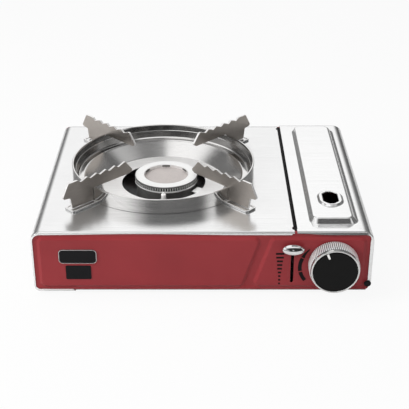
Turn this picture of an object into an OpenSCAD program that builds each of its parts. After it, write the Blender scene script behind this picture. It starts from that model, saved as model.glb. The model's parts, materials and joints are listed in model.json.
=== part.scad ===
// Butane cassette stove with a lift-off pan support, in millimetres.
// Origin: centre of the bounding box in plan, on the plane the feet stand on.
// +Z is up and -Y is the front, where the knob is.

/* [Body] */
// Width over the steel cover and the cartridge lid
body_w = 342; // [335:1:370]
// Depth from the front panel's face to the rear panel's face
body_d = 271.2; // [266:0.1:300]
// Height from the cover's return under the body to its top plate
body_h = 68; // [67:0.5:80]
// Gap under the body
foot_clear = 3.3; // [3:0.1:8]
// Thickness of all thin sheet
sheet_t = 0.8; // [0.6:0.1:0.9]
// Outer radius of the cover's rolled left edge
roll_r = 8; // [6:0.5:10]
// Inside radius of the cover's lower left bend
low_bend_r = 2.2; // [1.5:0.1:3]
// Reach of the cover's return under the body
return_w = 42; // [36:1:48]
// Height of the cover's flange over the top of the front panel
flange_top = 2.8; // [2:0.1:4]
// Width of the cover's flange down the left side
flange_side = 1.9; // [1.5:0.1:3]
// Height of the cover's flange under the front panel
flange_low = 2.7; // [2:0.1:4]

/* [Panels] */
// Depth of the panels' folded edges
fold_d = 12; // [9:0.5:13]
// How far the two fields stand out of the front panel
field_h = 2; // [1.2:0.1:2.6]
// Width of the sloping wall around each field
field_wall = 4; // [2.5:0.1:5]
// Distance from the top plate to the fields
field_top = 4.4; // [4:0.1:7]
// Distance from the panel's lower edge to the fields
field_low = 1.8; // [1.5:0.1:4]
// Distance from the panel's ends to the fields
field_end = 5; // [4:0.1:8]
// Distance from the left field's lower right corner to the slot in the cover
valley_left = 51.2; // [48:0.1:60]
// Width of the valley between the fields at its lower end
valley_w = 7.3; // [6:0.1:12]
// Sideways lean of the valley over its height
valley_lean = 19.7; // [10:0.1:24]
// Corner radius of the panels' lower corners
panel_low_r = 4; // [2:0.5:6]
// Number of vent slots in each group of the rear panel
rear_vents = 9; // [5:1:12]

/* [Badges] */
// Width of the upper plate
badge_w = 38.3; // [30:0.1:42]
// Height of the upper plate
badge_h = 15.9; // [12:0.1:17]
// Width of the upper plate's silver border
badge_edge = 1.3; // [0.8:0.1:2]
// Thickness of the plates
badge_t = 1; // [0.6:0.1:1.6]
// Distance from the left side to the middle of the plates
badge_from_left = 46.3; // [42:0.1:60]
// Distance from the top plate to the middle of the upper plate
badge_drop = 26.3; // [24:0.1:28]
// Width of the lower plate
notice_w = 25.5; // [20:0.1:30]
// Height of the lower plate
notice_h = 15.8; // [12:0.1:17]
// Distance from the top plate to the middle of the lower plate
notice_drop = 44.8; // [43.5:0.1:47]

/* [Tray] */
// Height of the tray's front and rear lips
tray_lip = 8; // [6:0.5:9]
// Height of the tray's right lip
tray_right_lip = 7.2; // [4:0.2:7.2]
// Radius of the feet
foot_r = 9; // [7:0.5:12]
// Distance from the front and rear panels to the feet
foot_inset = 24; // [18:1:40]
// Distance from the left side to the left feet
foot_from_left = 56; // [53:1:70]
// Distance from the right side to the right feet
foot_from_right = 30; // [20:1:40]
// Number of air slots in the tray
tray_vents = 8; // [4:1:10]

/* [Cartridge lid] */
// Width of the lid
lid_w = 76.95; // [75:0.05:80]
// Width of the slot between the cover and the lid
slot_w = 2.5; // [2:0.1:3.5]
// Height of the lid over the top plate
lid_rise = 1; // [0.8:0.1:1.4]
// Outer radius of the lid's rolled right edge
lid_roll_r = 7; // [6:0.5:8]
// Gap between the lid's flanges and the panels
lid_gap = 0.4; // [0.3:0.05:0.6]
// Height of the lid's flange below the top plate
lid_flange = 2.1; // [1.6:0.1:3]
// Width of the lid's flange down the right side
lid_side = 3.6; // [3.4:0.1:4.5]
// Depth of the lip along the lid's left edge
lid_lip = 5; // [3:0.5:6]
// Height of the hinge axis over the tray's underside
hinge_up = 8.9; // [8.5:0.1:12]
// Distance from the right side to the hinge axis
hinge_in = 3.5; // [3.4:0.1:4]
// Radius of the hinge pins
pin_r = 1.5; // [1.2:0.1:1.7]
// Radius of the hinge pins' heads
pin_head_r = 3.1; // [2.6:0.1:3.3]
// Thickness of the hinge pins' heads
pin_head_t = 1; // [0.8:0.1:1.6]
// Radial clearance of pins and shafts that turn
run_gap = 0.06; // [0.03:0.01:0.09]
// Clearance between pieces that move past each other
move_gap = 0.3; // [0.3:0.05:0.5]
// Width of the lid's raised panel at its foot
emboss_w = 46.6; // [40:0.1:50]
// Distance from the right side to the raised panel
emboss_in = 14.5; // [12:0.1:16]
// Height of the raised panel
emboss_h = 6; // [4:0.1:7]
// Width of the raised panel's sloping wall
emboss_wall = 3; // [2:0.1:4]
// Distance from the front panel to the raised panel
emboss_front = 14.2; // [12:0.1:20]
// Distance from the rear panel to the raised panel
emboss_rear = 12.5; // [12:0.1:20]
// Corner radius of the raised panel
emboss_r = 9; // [5:0.5:12]
// Width of the oval boss on the raised panel
boss_w = 26; // [22:0.5:30]
// Length of the oval boss
boss_l = 34; // [30:0.5:44]
// Height of the oval boss
boss_h = 2; // [1:0.1:3]
// Width of the window in the oval boss
window_w = 15.6; // [10:0.1:17]
// Length of the window in the oval boss
window_l = 27; // [20:0.5:29]
// Distance from the front panel to the window's centre
window_y = 61.5; // [50:0.5:70]

/* [Control knob] */
// Distance from the right side to the knob's axis
knob_from_right = 39.8; // [38:0.1:42]
// Distance from the top plate to the knob's axis
knob_drop = 33.2; // [32:0.1:36]
// Radius of the knurled skirt
knob_r = 25.3; // [20:0.1:25.5]
// Reach of the knob in front of the panel's face
knob_reach = 21.5; // [18:0.1:30]
// Radius of the black face
knob_face_r = 22.2; // [16:0.1:23]
// Depth of the black face's seat
knob_face_t = 1.6; // [1:0.1:2.5]
// Wall of the skirt
knob_wall = 2; // [1.4:0.1:2.4]
// Length of the pointer
pointer_l = 6.4; // [4:0.1:9]
// Width of the pointer
pointer_w = 2; // [1:0.1:3]
// How far the pointer stands out of the face
pointer_h = 0.3; // [0.2:0.05:0.5]
// Angle of the pointer in the off position, from +X
pointer_at = 113; // [95:1:130]
// Radius of the knob's shaft
shaft_r = 3; // [2.5:0.1:4]

/* [Lever] */
// Distance from the slot in the cover to the lever's plane
lever_left = 2.45; // [2.4:0.05:4]
// Distance from the top plate to the lever's pivot
lever_drop = 35.6; // [34:0.1:37]
// Distance from the front panel's face to the lever's pivot
lever_back = 42; // [38:0.5:46]
// Swing of the lever to each side of level
lever_half = 22; // [16:1:23]
// Width of the lever's arm
arm_w = 5; // [4:0.1:6]
// Thickness of the lever's arm
arm_t = 2.2; // [1.6:0.1:2.6]
// Width of the lever's slot in the panel
lever_slot = 3.2; // [3:0.1:4]
// Width of the lever's oval knob
lever_knob_w = 22.5; // [18:0.1:24]
// Height of the lever's oval knob
lever_knob_h = 11.4; // [8:0.1:13]
// Thickness of the lever's oval knob
lever_knob_t = 6.6; // [5:0.1:8]
// Length of the arm that drives the hook
drive_l = 10; // [7:0.5:11]

/* [Cartridge bay] */
// Radius of the gas cartridge
cartridge_r = 33.5; // [33:0.5:34]
// Height of the cartridge over the tray's floor
cradle_h = 3.9; // [3:0.1:4.5]
// Length of the cartridge with its collar
cartridge_l = 187; // [180:1:195]
// Half width of the cradle
cradle_half = 20; // [16:0.5:24]
// Distance from the front panel to the seat of the cartridge's collar
collar_y = 50; // [48:0.5:54]
// Radius of the collar on the cartridge
collar_r = 20; // [18:0.5:21]
// Radius of the neck behind the collar
neck_r = 17; // [15:0.5:18]
// Radius of the regulator
regulator_r = 19; // [17:0.5:19.5]
// Radius of the gas inlet
inlet_r = 12; // [10:0.5:14]

/* [Burner] */
// Distance from the left side to the centre of the pan support
pan_from_left = 127.7; // [127:0.1:135]
// Distance from the front panel to the centre of pan support and burner
pan_from_front = 139.2; // [132:0.1:140]
// Distance from the pan support's centre to the burner's centre
burner_shift = 2.8; // [0:0.1:3]
// Radius of the burner cap
burner_r = 34.6; // [32:0.1:36]
// Radius of the burner body
burner_body_r = 33; // [30:0.1:34]
// Depth of the burner cap's top below the top plate
burner_drop = 2; // [1:0.1:6]
// Height of the burner cap
cap_h = 5.6; // [5:0.1:8]
// Radius of the recess in the burner cap
recess_r = 24.2; // [20:0.1:26]
// Number of flame ports
port_count = 72; // [24:1:90]
// Width of a flame port
port_w = 1.5; // [1:0.1:1.5]
// Height of a flame port
port_h = 3.2; // [2:0.1:3.4]
// Number of notches in the wall of the recess
notch_count = 12; // [6:1:16]
// Height of the burner's bowl
bowl_h = 26.7; // [22:0.1:30]
// Wall of the burner's castings
cast_wall = 2; // [1.6:0.1:3]
// Height of the gas line's axis over the tray's floor
gas_up = 20.1; // [19:0.1:22]
// Outer radius of the mixing tube
mix_r = 10; // [8:0.5:10.2]
// Wall of the mixing tube
mix_wall = 1; // [0.8:0.1:1.5]
// Radius of the gas tube
gas_tube_r = 3; // [2:0.5:3.5]

/* [Pan support] */
// Outer radius of the wind ring
ring_r = 100.3; // [98:0.1:104]
// Height of the wind ring over the top plate
ring_h = 16.1; // [12:0.1:20]
// Width of the wind ring's folded rim
rim_w = 3.5; // [3:0.1:5]
// Width of the wind ring at its foot
ring_foot_w = 6; // [4.5:0.1:8]
// Width of the ledge between the wind ring and the drip dish
ledge_w = 7.9; // [6:0.1:10]
// Width of the drip dish's slope
dish_slope_w = 18.4; // [12:0.1:24]
// Depth of the drip dish under the top plate
dish_depth = 12.2; // [9:0.1:13]
// Radius of the hole in the drip dish
dish_hole_r = 46.6; // [44:0.1:50]
// Width of the gap around the dish in the cover's hole
dish_gap = 1; // [0.6:0.1:2]
// Thickness of the support blades
blade_t = 1.8; // [1.2:0.1:2.5]
// Height of the blades' tips over the top plate
blade_top = 31; // [26:0.1:36]
// Depth of the saw teeth
tooth_depth = 3; // [1:0.1:4]
// Distance from one saw tooth to the next
tooth_pitch = 12.5; // [10:0.1:13]
// Number of saw teeth on a blade
tooth_count = 5; // [3:1:5]
// Radius where the blades begin
blade_in_r = 46.5; // [44:0.1:50]
// Outermost radius of the blades' beaks
blade_out_r = 140; // [138:0.5:146]
// Radius where the feet of the blades end
blade_foot_r = 129; // [124:0.5:131]
// Width of the pads under the blades
pad_w = 15.3; // [12:0.1:18]
// Outer radius of the pads
pad_out_r = 133; // [131:0.5:136]
// Thickness of the pads
pad_t = 1.8; // [1.2:0.1:2.4]
// Width of the pads' raised border
pad_edge = 2.3; // [1.6:0.1:3]

/* [Hidden] */
$fn = 96;
hull_fn = 32;
eps = 0.01;
knob_skin = 0.05;

screw_r = 1.5;
screw_head_r = 2.8;
screw_head_t = 1.4;

front_y = -(body_d + rear_proud() - knob_reach) / 2;
back_y = front_y + body_d;
left_x = -body_w / 2;
right_x = body_w / 2;
base_z = foot_clear;
top_z = base_z + body_h;
under_top_z = top_z - sheet_t;
tray_z = base_z + sheet_t;
floor_z = tray_z + sheet_t;

lid_left = right_x - lid_w;
lid_z = top_z + lid_rise;
cover_right = lid_left - slot_w;
slot_x = (lid_left + cover_right) / 2;
hinge_x = right_x - hinge_in;
hinge_z = tray_z + hinge_up;
ear_r = hinge_in - 0.1;

panel_left = left_x + sheet_t;
panel_right = right_x - sheet_t - 1;
panel_low = base_z + flange_low;
panel_top_right_r = lid_roll_r - 1;

tray_left = left_x + sheet_t + low_bend_r + 1;
tray_right = hinge_x - 1;
tray_front = front_y + sheet_t;
tray_back = back_y - sheet_t;
foot_xs = [left_x + foot_from_left, right_x - foot_from_right];
foot_ys = [front_y + foot_inset, back_y - foot_inset];

cover_screw_in = 40;
cover_screw_x = left_x + return_w / 2;
cover_screw_ys = [front_y + cover_screw_in, (front_y + back_y) / 2, back_y - cover_screw_in];
rear_screw_in = 30;
rear_screw_step = 90;
rear_screw_xs = [left_x + rear_screw_in, left_x + rear_screw_in + rear_screw_step,
    right_x - rear_screw_in - rear_screw_step, right_x - rear_screw_in];
rear_screw_z = base_z + flange_low + screw_head_r + move_gap;
rear_screw_l = 5;

field_z0 = panel_low + field_low;
field_z1 = top_z - field_top;
valley_low_x = cover_right - valley_left + 1;
button_r = 4.2;
button_in = 8.5;
badge_x = left_x + badge_from_left;
badge_z = top_z - badge_drop;
notice_z = top_z - notice_drop;
plate_y = front_y - field_h;

emboss_x1 = right_x - emboss_in;
emboss_x0 = emboss_x1 - emboss_w;
emboss_y0 = front_y + emboss_front;
emboss_y1 = back_y - emboss_rear;
lid_y0 = front_y - lid_gap - sheet_t;
lid_y1 = back_y + lid_gap + sheet_t;

knob_x = right_x - knob_from_right;
window_x = knob_x + 1.6;
knob_z = top_z - knob_drop;
knob_gap = 0.8;
knob_web = 1.6;
skirt_back_y = front_y - field_h - knob_gap;
knob_front_y = front_y - knob_reach;
face_y = knob_front_y + pointer_h;

lever_x = cover_right - lever_left + arm_t / 2;
lever_y = front_y + lever_back;
lever_z = top_z - lever_drop;
lever_knob_seat = (lever_back + field_h + move_gap + lever_knob_h / 2 * sin(lever_half)) / cos(lever_half) + 0.6;
slot_half = (lever_back + field_h) * tan(lever_half) + arm_w / 2 / cos(lever_half) + 0.7;
hub_r = 6;
pivot_r = 2.5;
stud_r = 2;
drive_pin_r = 1.5;
hook_stroke = 2 * drive_l * sin(lever_half);

wall_x = lid_left + 1.15;
hook_t = 1.2;
hook_x = wall_x - 0.4 - hook_t;
wall_y0 = front_y + 18;
wall_y1 = back_y - 10;
wall_top = top_z - 8;
stud_y = lever_y + 38;

cartridge_z = floor_z + cradle_h + cartridge_r;
seat_y = front_y + collar_y;
claw_y = seat_y + 4 + hook_stroke;
cradle_y0 = seat_y + 18;
cradle_y1 = seat_y + cartridge_l;

bracket_y = seat_y - 12;
bracket_t = 1.2;
regulator_y0 = front_y + 16;
regulator_screw_at = 15;
valve_y0 = front_y + 3;
valve_r = 9;

ring_x = left_x + pan_from_left;
pan_y = front_y + pan_from_front;
burner_x = ring_x + burner_shift;
cap_top_z = top_z - burner_drop;
cap_low_z = cap_top_z - cap_h;
bowl_low_z = cap_low_z - bowl_h;
gas_z = floor_z + gas_up;
chamber_r = 15;
disc_drop = 4.2;
outlet_x = knob_x - 16.4;
outlet_y = front_y + 26.5;
gas_dx = outlet_x - burner_x;
gas_dy = outlet_y - pan_y;
gas_l = sqrt(gas_dx * gas_dx + gas_dy * gas_dy);
gas_a = atan2(gas_dy, gas_dx);
mix_to_outlet = 60;
nozzle_to_outlet = 34;
outlet_boss_l = 9;
mix_end = gas_l - mix_to_outlet;
nozzle_end = gas_l - nozzle_to_outlet;
boss_start = gas_l - outlet_boss_l;
leg_x = 38;
leg_half = 12;
tab_a = -30;
tab_r = 42.8;

ring_foot_r = ring_r - ring_foot_w;
ledge_r = ring_foot_r - ledge_w;
dish_floor_r = ledge_r - dish_slope_w;
lift = 0.3;
blade_angles = [225, 315, 45, 135];
pad_top_z = top_z + lift + pad_t;
rim_z = top_z + ring_h;

electrode_r = 2.75;
electrode_pin_r = 0.6;
electrode_x = burner_x - 1.7;
electrode_y = pan_y - burner_r - 3.4;
electrode_low = floor_z + 19;
electrode_top = top_z - 8;

igniter_x = knob_x - 27.2;
igniter_w = 11.5;
igniter_y = electrode_y - 66;
igniter_plate_t = 1.6;
lead_r = 1.3;
lead_sides = 8;
// The ignition lead's route: its share of the way from the electrode to the partition, or past 1 of the
// way from the partition to the igniter, then its distance behind the electrode and its height
lead_route = [
    [2, -58, 37], [2, -51, 36], [1.864, -46, 24], [1.636, -42, 12], [1.239, -38, 6.5], [0.9898, -35, 4.5],
    [0.9316, -30, 3], [0.8006, -22, 2.4], [0.6114, -14, 2.4], [0.4076, -9, 2.4], [0.2038, -5, 2.4],
    [0.0873, -3, 3], [0.0291, -1, 6], [0.0044, 0, 12], [0, 0, 19]];
lead_wall_y = electrode_y - 36.4;
lead_wall_z = floor_z + 5.4;
lead_start_z = floor_z + lead_route[0][2];

function rear_proud() = lid_gap + sheet_t + move_gap + pin_head_t;

// Side walls, lids and panels share these outlines, drawn in x and z

module quarter(r, t, cx, cz, sx, sz) {
    translate([cx, cz])
        intersection() {
            difference() {
                circle(r = r);
                circle(r = r - t);
            }
            translate([sx > 0 ? 0 : -r, sz > 0 ? 0 : -r])
                square([r, r]);
        }
}

// Fills x0..x1 by z0..z1 with its own radius on each corner: top left, top right, low right, low left
module round_box(x0, x1, z0, z1, tl, tr, lr, ll) {
    difference() {
        translate([x0, z0])
            square([x1 - x0, z1 - z0]);
        translate([x0 - 1, z1 - tl])
            square([tl + 1, tl + 1]);
        translate([x1 - tr, z1 - tr])
            square([tr + 1, tr + 1]);
        translate([x1 - lr, z0 - 1])
            square([lr + 1, lr + 1]);
        translate([x0 - 1, z0 - 1])
            square([ll + 1, ll + 1]);
    }
    translate([x0 + tl, z1 - tl])
        circle(r = tl);
    translate([x1 - tr, z1 - tr])
        circle(r = tr);
    translate([x1 - lr, z0 + lr])
        circle(r = lr);
    translate([x0 + ll, z0 + ll])
        circle(r = ll);
}

// Stands a drawing in x and z up, from y0 to y1
module stand(y0, y1) {
    translate([0, y1, 0])
        rotate([90, 0, 0])
            linear_extrude(height = y1 - y0)
                children();
}

// A round bar along y, from y0 to y1
module y_bar(x, z, r, y0, y1) {
    translate([x, y1, z])
        rotate([90, 0, 0])
            cylinder(r = r, h = y1 - y0);
}

// A round bar along x, from x0 to x1
module x_bar(y, z, r, x0, x1) {
    translate([x0, y, z])
        rotate([0, 90, 0])
            cylinder(r = r, h = x1 - x0);
}

module block(x0, x1, y0, y1, z0, z1) {
    translate([x0, y0, z0])
        cube([x1 - x0, y1 - y0, z1 - z0]);
}

// A round bar along the gas line, from s0 to s1 measured from the burner's axis
module gas_bar(r, s0, s1, fn = $fn) {
    translate([burner_x, pan_y, gas_z])
        rotate([0, 0, gas_a])
            translate([s0, 0, 0])
                rotate([0, 90, 0])
                    cylinder(r = r, h = s1 - s0, $fn = fn);
}

module screw_up(x, y, z, length) {
    translate([x, y, z - screw_head_t])
        cylinder(r = screw_head_r, h = screw_head_t);
    translate([x, y, z - eps])
        cylinder(r = screw_r, h = length + eps);
}

module base_tray() {
    vent_pitch = 12;
    color([0.72, 0.73, 0.74])
        difference() {
            union() {
                block(tray_left, tray_right, tray_front, tray_back, tray_z, floor_z);
                block(tray_left, tray_right, tray_front, tray_front + sheet_t, tray_z, tray_z + tray_lip);
                block(tray_left, tray_right, tray_back - sheet_t, tray_back, tray_z, tray_z + tray_lip);
                block(tray_right - sheet_t, tray_right, tray_front, tray_back, tray_z, tray_z + tray_right_lip);
                block(tray_left, tray_left + sheet_t, tray_front, tray_back, tray_z, tray_z + tray_right_lip);
            }
            for (x = foot_xs, y = foot_ys)
                translate([x, y, tray_z - 1])
                    cylinder(r = screw_r, h = sheet_t + 2);
            for (y = cover_screw_ys)
                translate([cover_screw_x, y, tray_z - 1])
                    cylinder(r = screw_r, h = sheet_t + 2);
            for (x = rear_screw_xs)
                y_bar(x, rear_screw_z, screw_r, tray_back - sheet_t - 1, tray_back + 1);
            for (i = [0:tray_vents - 1])
                translate([burner_x - 60, pan_y + 58 + (i - tray_vents) * vent_pitch / 2, tray_z - 1])
                    cube([36, 3, sheet_t + 2]);
            for (i = [0:tray_vents - 1])
                translate([burner_x + 24, pan_y + 58 + (i - tray_vents) * vent_pitch / 2, tray_z - 1])
                    cube([36, 3, sheet_t + 2]);
        }
}

module feet() {
    recess_r = screw_head_r + 1.2;
    color([0.09, 0.09, 0.1])
        for (x = foot_xs, y = foot_ys)
            translate([x, y, 0])
                difference() {
                    union() {
                        cylinder(r1 = foot_r - 0.8, r2 = foot_r, h = 1);
                        translate([0, 0, 1])
                            cylinder(r = foot_r, h = tray_z - 1);
                    }
                    translate([0, 0, -1])
                        cylinder(r = recess_r, h = 1 + tray_z / 2);
                    translate([0, 0, -1])
                        cylinder(r = screw_r, h = tray_z + 2);
                }
}

module foot_screws() {
    color([0.75, 0.75, 0.76])
        for (x = foot_xs, y = foot_ys)
            screw_up(x, y, tray_z / 2, tray_z / 2 + 4);
}

module panel_outline(inset) {
    round_box(panel_left + inset, panel_right - inset, panel_low + inset, under_top_z - inset,
        roll_r - sheet_t - inset, panel_top_right_r - inset, panel_low_r - inset, panel_low_r - inset);
}

// Outline of the left field; w moves every side inwards
function left_field(w) = [
    [panel_left + field_end + w, field_z0 + w], [valley_low_x - w, field_z0 + w],
    [valley_low_x + valley_lean - w, field_z1 - w], [panel_left + field_end + w, field_z1 - w]];

function right_field(w) = [
    [valley_low_x + valley_w + w, field_z0 + w], [panel_right - field_end - w, field_z0 + w],
    [panel_right - field_end - w, field_z1 - w],
    [valley_low_x + valley_w + valley_lean + w, field_z1 - w]];

module field_solid(base, face, y_base, y_face) {
    hull() {
        stand(y_base - eps, y_base)
            polygon(base);
        stand(y_face, y_face + eps)
            polygon(face);
    }
}

module pressed_sheet(y0, deep) {
    stand(y0, y0 + sheet_t)
        panel_outline(0);
    stand(min(y0, y0 + deep), max(y0 + sheet_t, y0 + deep))
        difference() {
            panel_outline(0);
            panel_outline(sheet_t);
            translate([left_x, base_z])
                square([body_w, panel_low - base_z + 12]);
        }
}

module front_panel() {
    color([0.59, 0.2, 0.23])
        difference() {
            union() {
                difference() {
                    pressed_sheet(front_y, fold_d);
                    field_solid(left_field(sheet_t), left_field(sheet_t), front_y + 2, front_y - 1);
                    field_solid(right_field(sheet_t), right_field(sheet_t), front_y + 2, front_y - 1);
                }
                difference() {
                    field_solid(left_field(0), left_field(field_wall), front_y + sheet_t, front_y - field_h);
                    field_solid(left_field(sheet_t), left_field(field_wall + sheet_t),
                        front_y + sheet_t + 2 * eps, front_y - field_h + sheet_t);
                }
                difference() {
                    field_solid(right_field(0), right_field(field_wall), front_y + sheet_t, front_y - field_h);
                    field_solid(right_field(sheet_t), right_field(field_wall + sheet_t),
                        front_y + sheet_t + 2 * eps, front_y - field_h + sheet_t);
                }
            }
            y_bar(knob_x, knob_z, shaft_r + 2, front_y - field_h - 1, front_y + 2);
            y_bar(hinge_x, hinge_z, pin_r, front_y - 1, front_y + 2);
            block(lever_x - lever_slot / 2, lever_x + lever_slot / 2, front_y - field_h - 1, front_y + 2,
                lever_z - slot_half, lever_z + slot_half);
        }
}

module rear_panel() {
    vent_w = 3;
    vent_pitch = 8;
    group_w = (rear_vents - 1) * vent_pitch;
    color([0.59, 0.2, 0.23])
        difference() {
            translate([0, back_y - sheet_t, 0])
                pressed_sheet(0, -fold_d + sheet_t);
            y_bar(hinge_x, hinge_z, pin_r, back_y - 2, back_y + 1);
            for (x = rear_screw_xs)
                y_bar(x, rear_screw_z, screw_r, back_y - 2, back_y + 1);
            for (side = [-1, 1], i = [0:rear_vents - 1])
                block(ring_x + side * 60 - group_w / 2 + i * vent_pitch,
                    ring_x + side * 60 - group_w / 2 + i * vent_pitch + vent_w,
                    back_y - 2, back_y + 1, top_z - 38, top_z - 14);
        }
}

// Outline of the cover seen from the front, closed over its right end; w moves it inwards
module cover_region(side, top, low) {
    r_top = max(roll_r - max(side, top), 1);
    r_low = max(low_bend_r + sheet_t - max(side, low), 1);
    round_box(left_x + side, cover_right + 20, base_z + low, top_z - top, r_top, 1, 1, r_low);
}

module cover_flange(y0) {
    diagonal = 3;
    stand(y0, y0 + sheet_t)
        difference() {
            cover_region(0, 0, 0);
            cover_region(flange_side, flange_top, flange_low);
            polygon([[cover_right - 1.5, top_z + 1], [cover_right - 1.5, top_z - 1],
                [cover_right - 1.5 - diagonal, top_z - 2 * flange_top], [right_x, top_z - 2 * flange_top],
                [right_x, top_z + 1]]);
            polygon([[left_x + return_w, base_z - 1], [left_x + return_w, base_z],
                [left_x + return_w - diagonal, base_z + flange_low + 1],
                [right_x, base_z + flange_low + 1], [right_x, base_z - 1]]);
            translate([cover_right - 20, base_z + flange_low - eps])
                square([body_w, body_h - flange_low - flange_top]);
        }
}

module cover_profile() {
    low_r = low_bend_r + sheet_t;
    translate([left_x + roll_r, under_top_z])
        square([cover_right - left_x - roll_r, sheet_t]);
    quarter(roll_r, sheet_t, left_x + roll_r, top_z - roll_r, -1, 1);
    translate([left_x, base_z + low_r])
        square([sheet_t, body_h - roll_r - low_r]);
    quarter(low_r, sheet_t, left_x + low_r, base_z + low_r, -1, -1);
    translate([left_x + low_r, base_z])
        square([return_w - low_r, sheet_t]);
}

module top_cover() {
    lip_h = 8;
    notch_r = 2.5;
    lip_inset = fold_d + 1;
    color([0.86, 0.86, 0.87])
        difference() {
            union() {
                stand(front_y - sheet_t, back_y + sheet_t)
                    cover_profile();
                cover_flange(front_y - sheet_t);
                cover_flange(back_y);
                block(cover_right - sheet_t, cover_right, front_y + lip_inset, back_y - lip_inset,
                    top_z - lip_h, top_z);
            }
            translate([ring_x, pan_y, under_top_z - 1])
                cylinder(r = ledge_r + dish_gap + 1.6, h = sheet_t + 2);
            for (y = [front_y + button_in, back_y - button_in])
                translate([lid_left, y, under_top_z - 1])
                    cylinder(r = button_r + 0.4, h = sheet_t + 2);
            for (y = cover_screw_ys)
                translate([cover_screw_x, y, base_z - 1])
                    cylinder(r = screw_r, h = sheet_t + 2);
        }
}

module lid_buttons() {
    color([0.06, 0.06, 0.06])
        for (y = [front_y + button_in, back_y - button_in])
            translate([lid_left, y, under_top_z])
                intersection() {
                    cylinder(r = button_r, h = sheet_t + lid_rise - sheet_t - move_gap);
                    translate([-button_r, -4, -1])
                        cube([2 * button_r, 8, sheet_t + 2]);
                }
}

module cover_screws() {
    color([0.75, 0.75, 0.76])
        for (y = cover_screw_ys)
            screw_up(cover_screw_x, y, base_z, 6);
}

module rear_screws() {
    color([0.75, 0.75, 0.76])
        for (x = rear_screw_xs) {
            y_bar(x, rear_screw_z, screw_head_r, back_y, back_y + screw_head_t);
            y_bar(x, rear_screw_z, screw_r, back_y - rear_screw_l, back_y + eps);
        }
}

module plate_outline(w, h, r) {
    round_box(-w / 2, w / 2, -h / 2, h / 2, r, r, r, r);
}

module badge_border() {
    corner = 3;
    color([0.8, 0.8, 0.8])
        stand(plate_y - badge_t, plate_y)
            translate([badge_x, badge_z])
                difference() {
                    plate_outline(badge_w, badge_h, corner);
                    plate_outline(badge_w - 2 * badge_edge, badge_h - 2 * badge_edge, corner - badge_edge);
                }
}

module badge_plate() {
    corner = 3;
    color([0.05, 0.05, 0.05])
        stand(plate_y - badge_t * 0.7, plate_y)
            translate([badge_x, badge_z])
                plate_outline(badge_w - 2 * badge_edge, badge_h - 2 * badge_edge, corner - badge_edge);
}

module notice_plate() {
    color([0.05, 0.05, 0.05])
        stand(plate_y - badge_t / 2, plate_y)
            translate([badge_x, notice_z])
                plate_outline(notice_w, notice_h, 1.5);
}

module partition() {
    flange_w = 9;
    foot_w = 12;
    color([0.74, 0.75, 0.76])
        difference() {
            union() {
                block(wall_x, wall_x + sheet_t, wall_y0, wall_y1, floor_z, wall_top);
                block(cover_right - flange_w, wall_x + sheet_t, wall_y0, wall_y1, wall_top - sheet_t, wall_top);
                block(wall_x - foot_w, wall_x + sheet_t, wall_y0 + 60, wall_y1, floor_z, floor_z + sheet_t);
            }
            block(wall_x - 1, wall_x + 2, claw_y - hook_stroke - 2, claw_y + 4, lever_z - 3, lever_z + 18);
            gas_bar(gas_tube_r + 1.5, nozzle_end, boss_start);
            x_bar(lead_wall_y, lead_wall_z, lead_r + 1.2, wall_x - 1, wall_x + 2);
            x_bar(lever_y, lever_z, pivot_r, wall_x - 1, wall_x + 2);
            x_bar(stud_y, lever_z, stud_r, wall_x - 1, wall_x + 2);
        }
}

module cartridge_cradle() {
    wing = sqrt(cartridge_r * cartridge_r - cradle_half * cradle_half);
    wing_top = cartridge_z - wing - move_gap;
    stop_h = 22;
    color([0.74, 0.75, 0.76]) {
        difference() {
            union() {
                block(knob_x - cradle_half - sheet_t, knob_x + cradle_half + sheet_t, cradle_y0, cradle_y1 + 1,
                    floor_z, floor_z + sheet_t);
                for (side = [-1, 1])
                    block(knob_x + side * (cradle_half + sheet_t / 2) - sheet_t / 2,
                        knob_x + side * (cradle_half + sheet_t / 2) + sheet_t / 2,
                        cradle_y0, cradle_y1 - 20, floor_z, wing_top);
                block(knob_x - 14, knob_x + 14, cradle_y1 + 1, cradle_y1 + 1 + sheet_t, floor_z, floor_z + stop_h);
            }
            for (y = [cradle_y0 + 50, cradle_y1 - 50])
                translate([knob_x, y, floor_z - 1])
                    cylinder(r = 8, h = sheet_t + 2);
        }
    }
}

module regulator_body() {
    color([0.66, 0.67, 0.68])
        difference() {
            union() {
                y_bar(knob_x, cartridge_z, regulator_r, regulator_y0, bracket_y);
                block(outlet_x - 2, knob_x, regulator_y0 + 2, bracket_y - 4, gas_z - 7, cartridge_z);
                gas_bar(gas_tube_r + 2.5, boss_start, gas_l);
            }
            for (a = [30, 150, 270])
                y_bar(knob_x + regulator_screw_at * cos(a), cartridge_z + regulator_screw_at * sin(a), screw_r, bracket_y - 6, bracket_y + 1);
        }
}

module diaphragm_cover() {
    dome_y = regulator_y0 - 3;
    color([0.8, 0.8, 0.8])
        difference() {
            y_bar(knob_x, cartridge_z, regulator_r - 1.5, dome_y + 1, regulator_y0);
            y_bar(knob_x, knob_z, valve_r, dome_y - 1, regulator_y0 + 1);
        }
}

module valve_housing() {
    plate_half = 8;
    plate_y0 = valve_y0 + 2;
    bore_l = 10;
    color([0.7, 0.66, 0.5])
        difference() {
            union() {
                y_bar(knob_x, knob_z, valve_r, valve_y0, regulator_y0);
                block(igniter_x - igniter_w / 2, knob_x, plate_y0, plate_y0 + igniter_plate_t,
                    knob_z - plate_half, knob_z + plate_half);
            }
            y_bar(knob_x, knob_z, shaft_r + run_gap, valve_y0 - 1, valve_y0 + bore_l);
        }
}

module piezo_igniter() {
    neck_r = 4;
    low = 5;
    high = 8;
    color([0.12, 0.12, 0.13]) {
        block(igniter_x - igniter_w / 2, igniter_x + igniter_w / 2, valve_y0 + 2 + igniter_plate_t, igniter_y,
            knob_z - low, knob_z + high);
        y_bar(igniter_x, lead_start_z, neck_r, igniter_y, electrode_y + lead_route[0][1]);
    }
}

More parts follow.
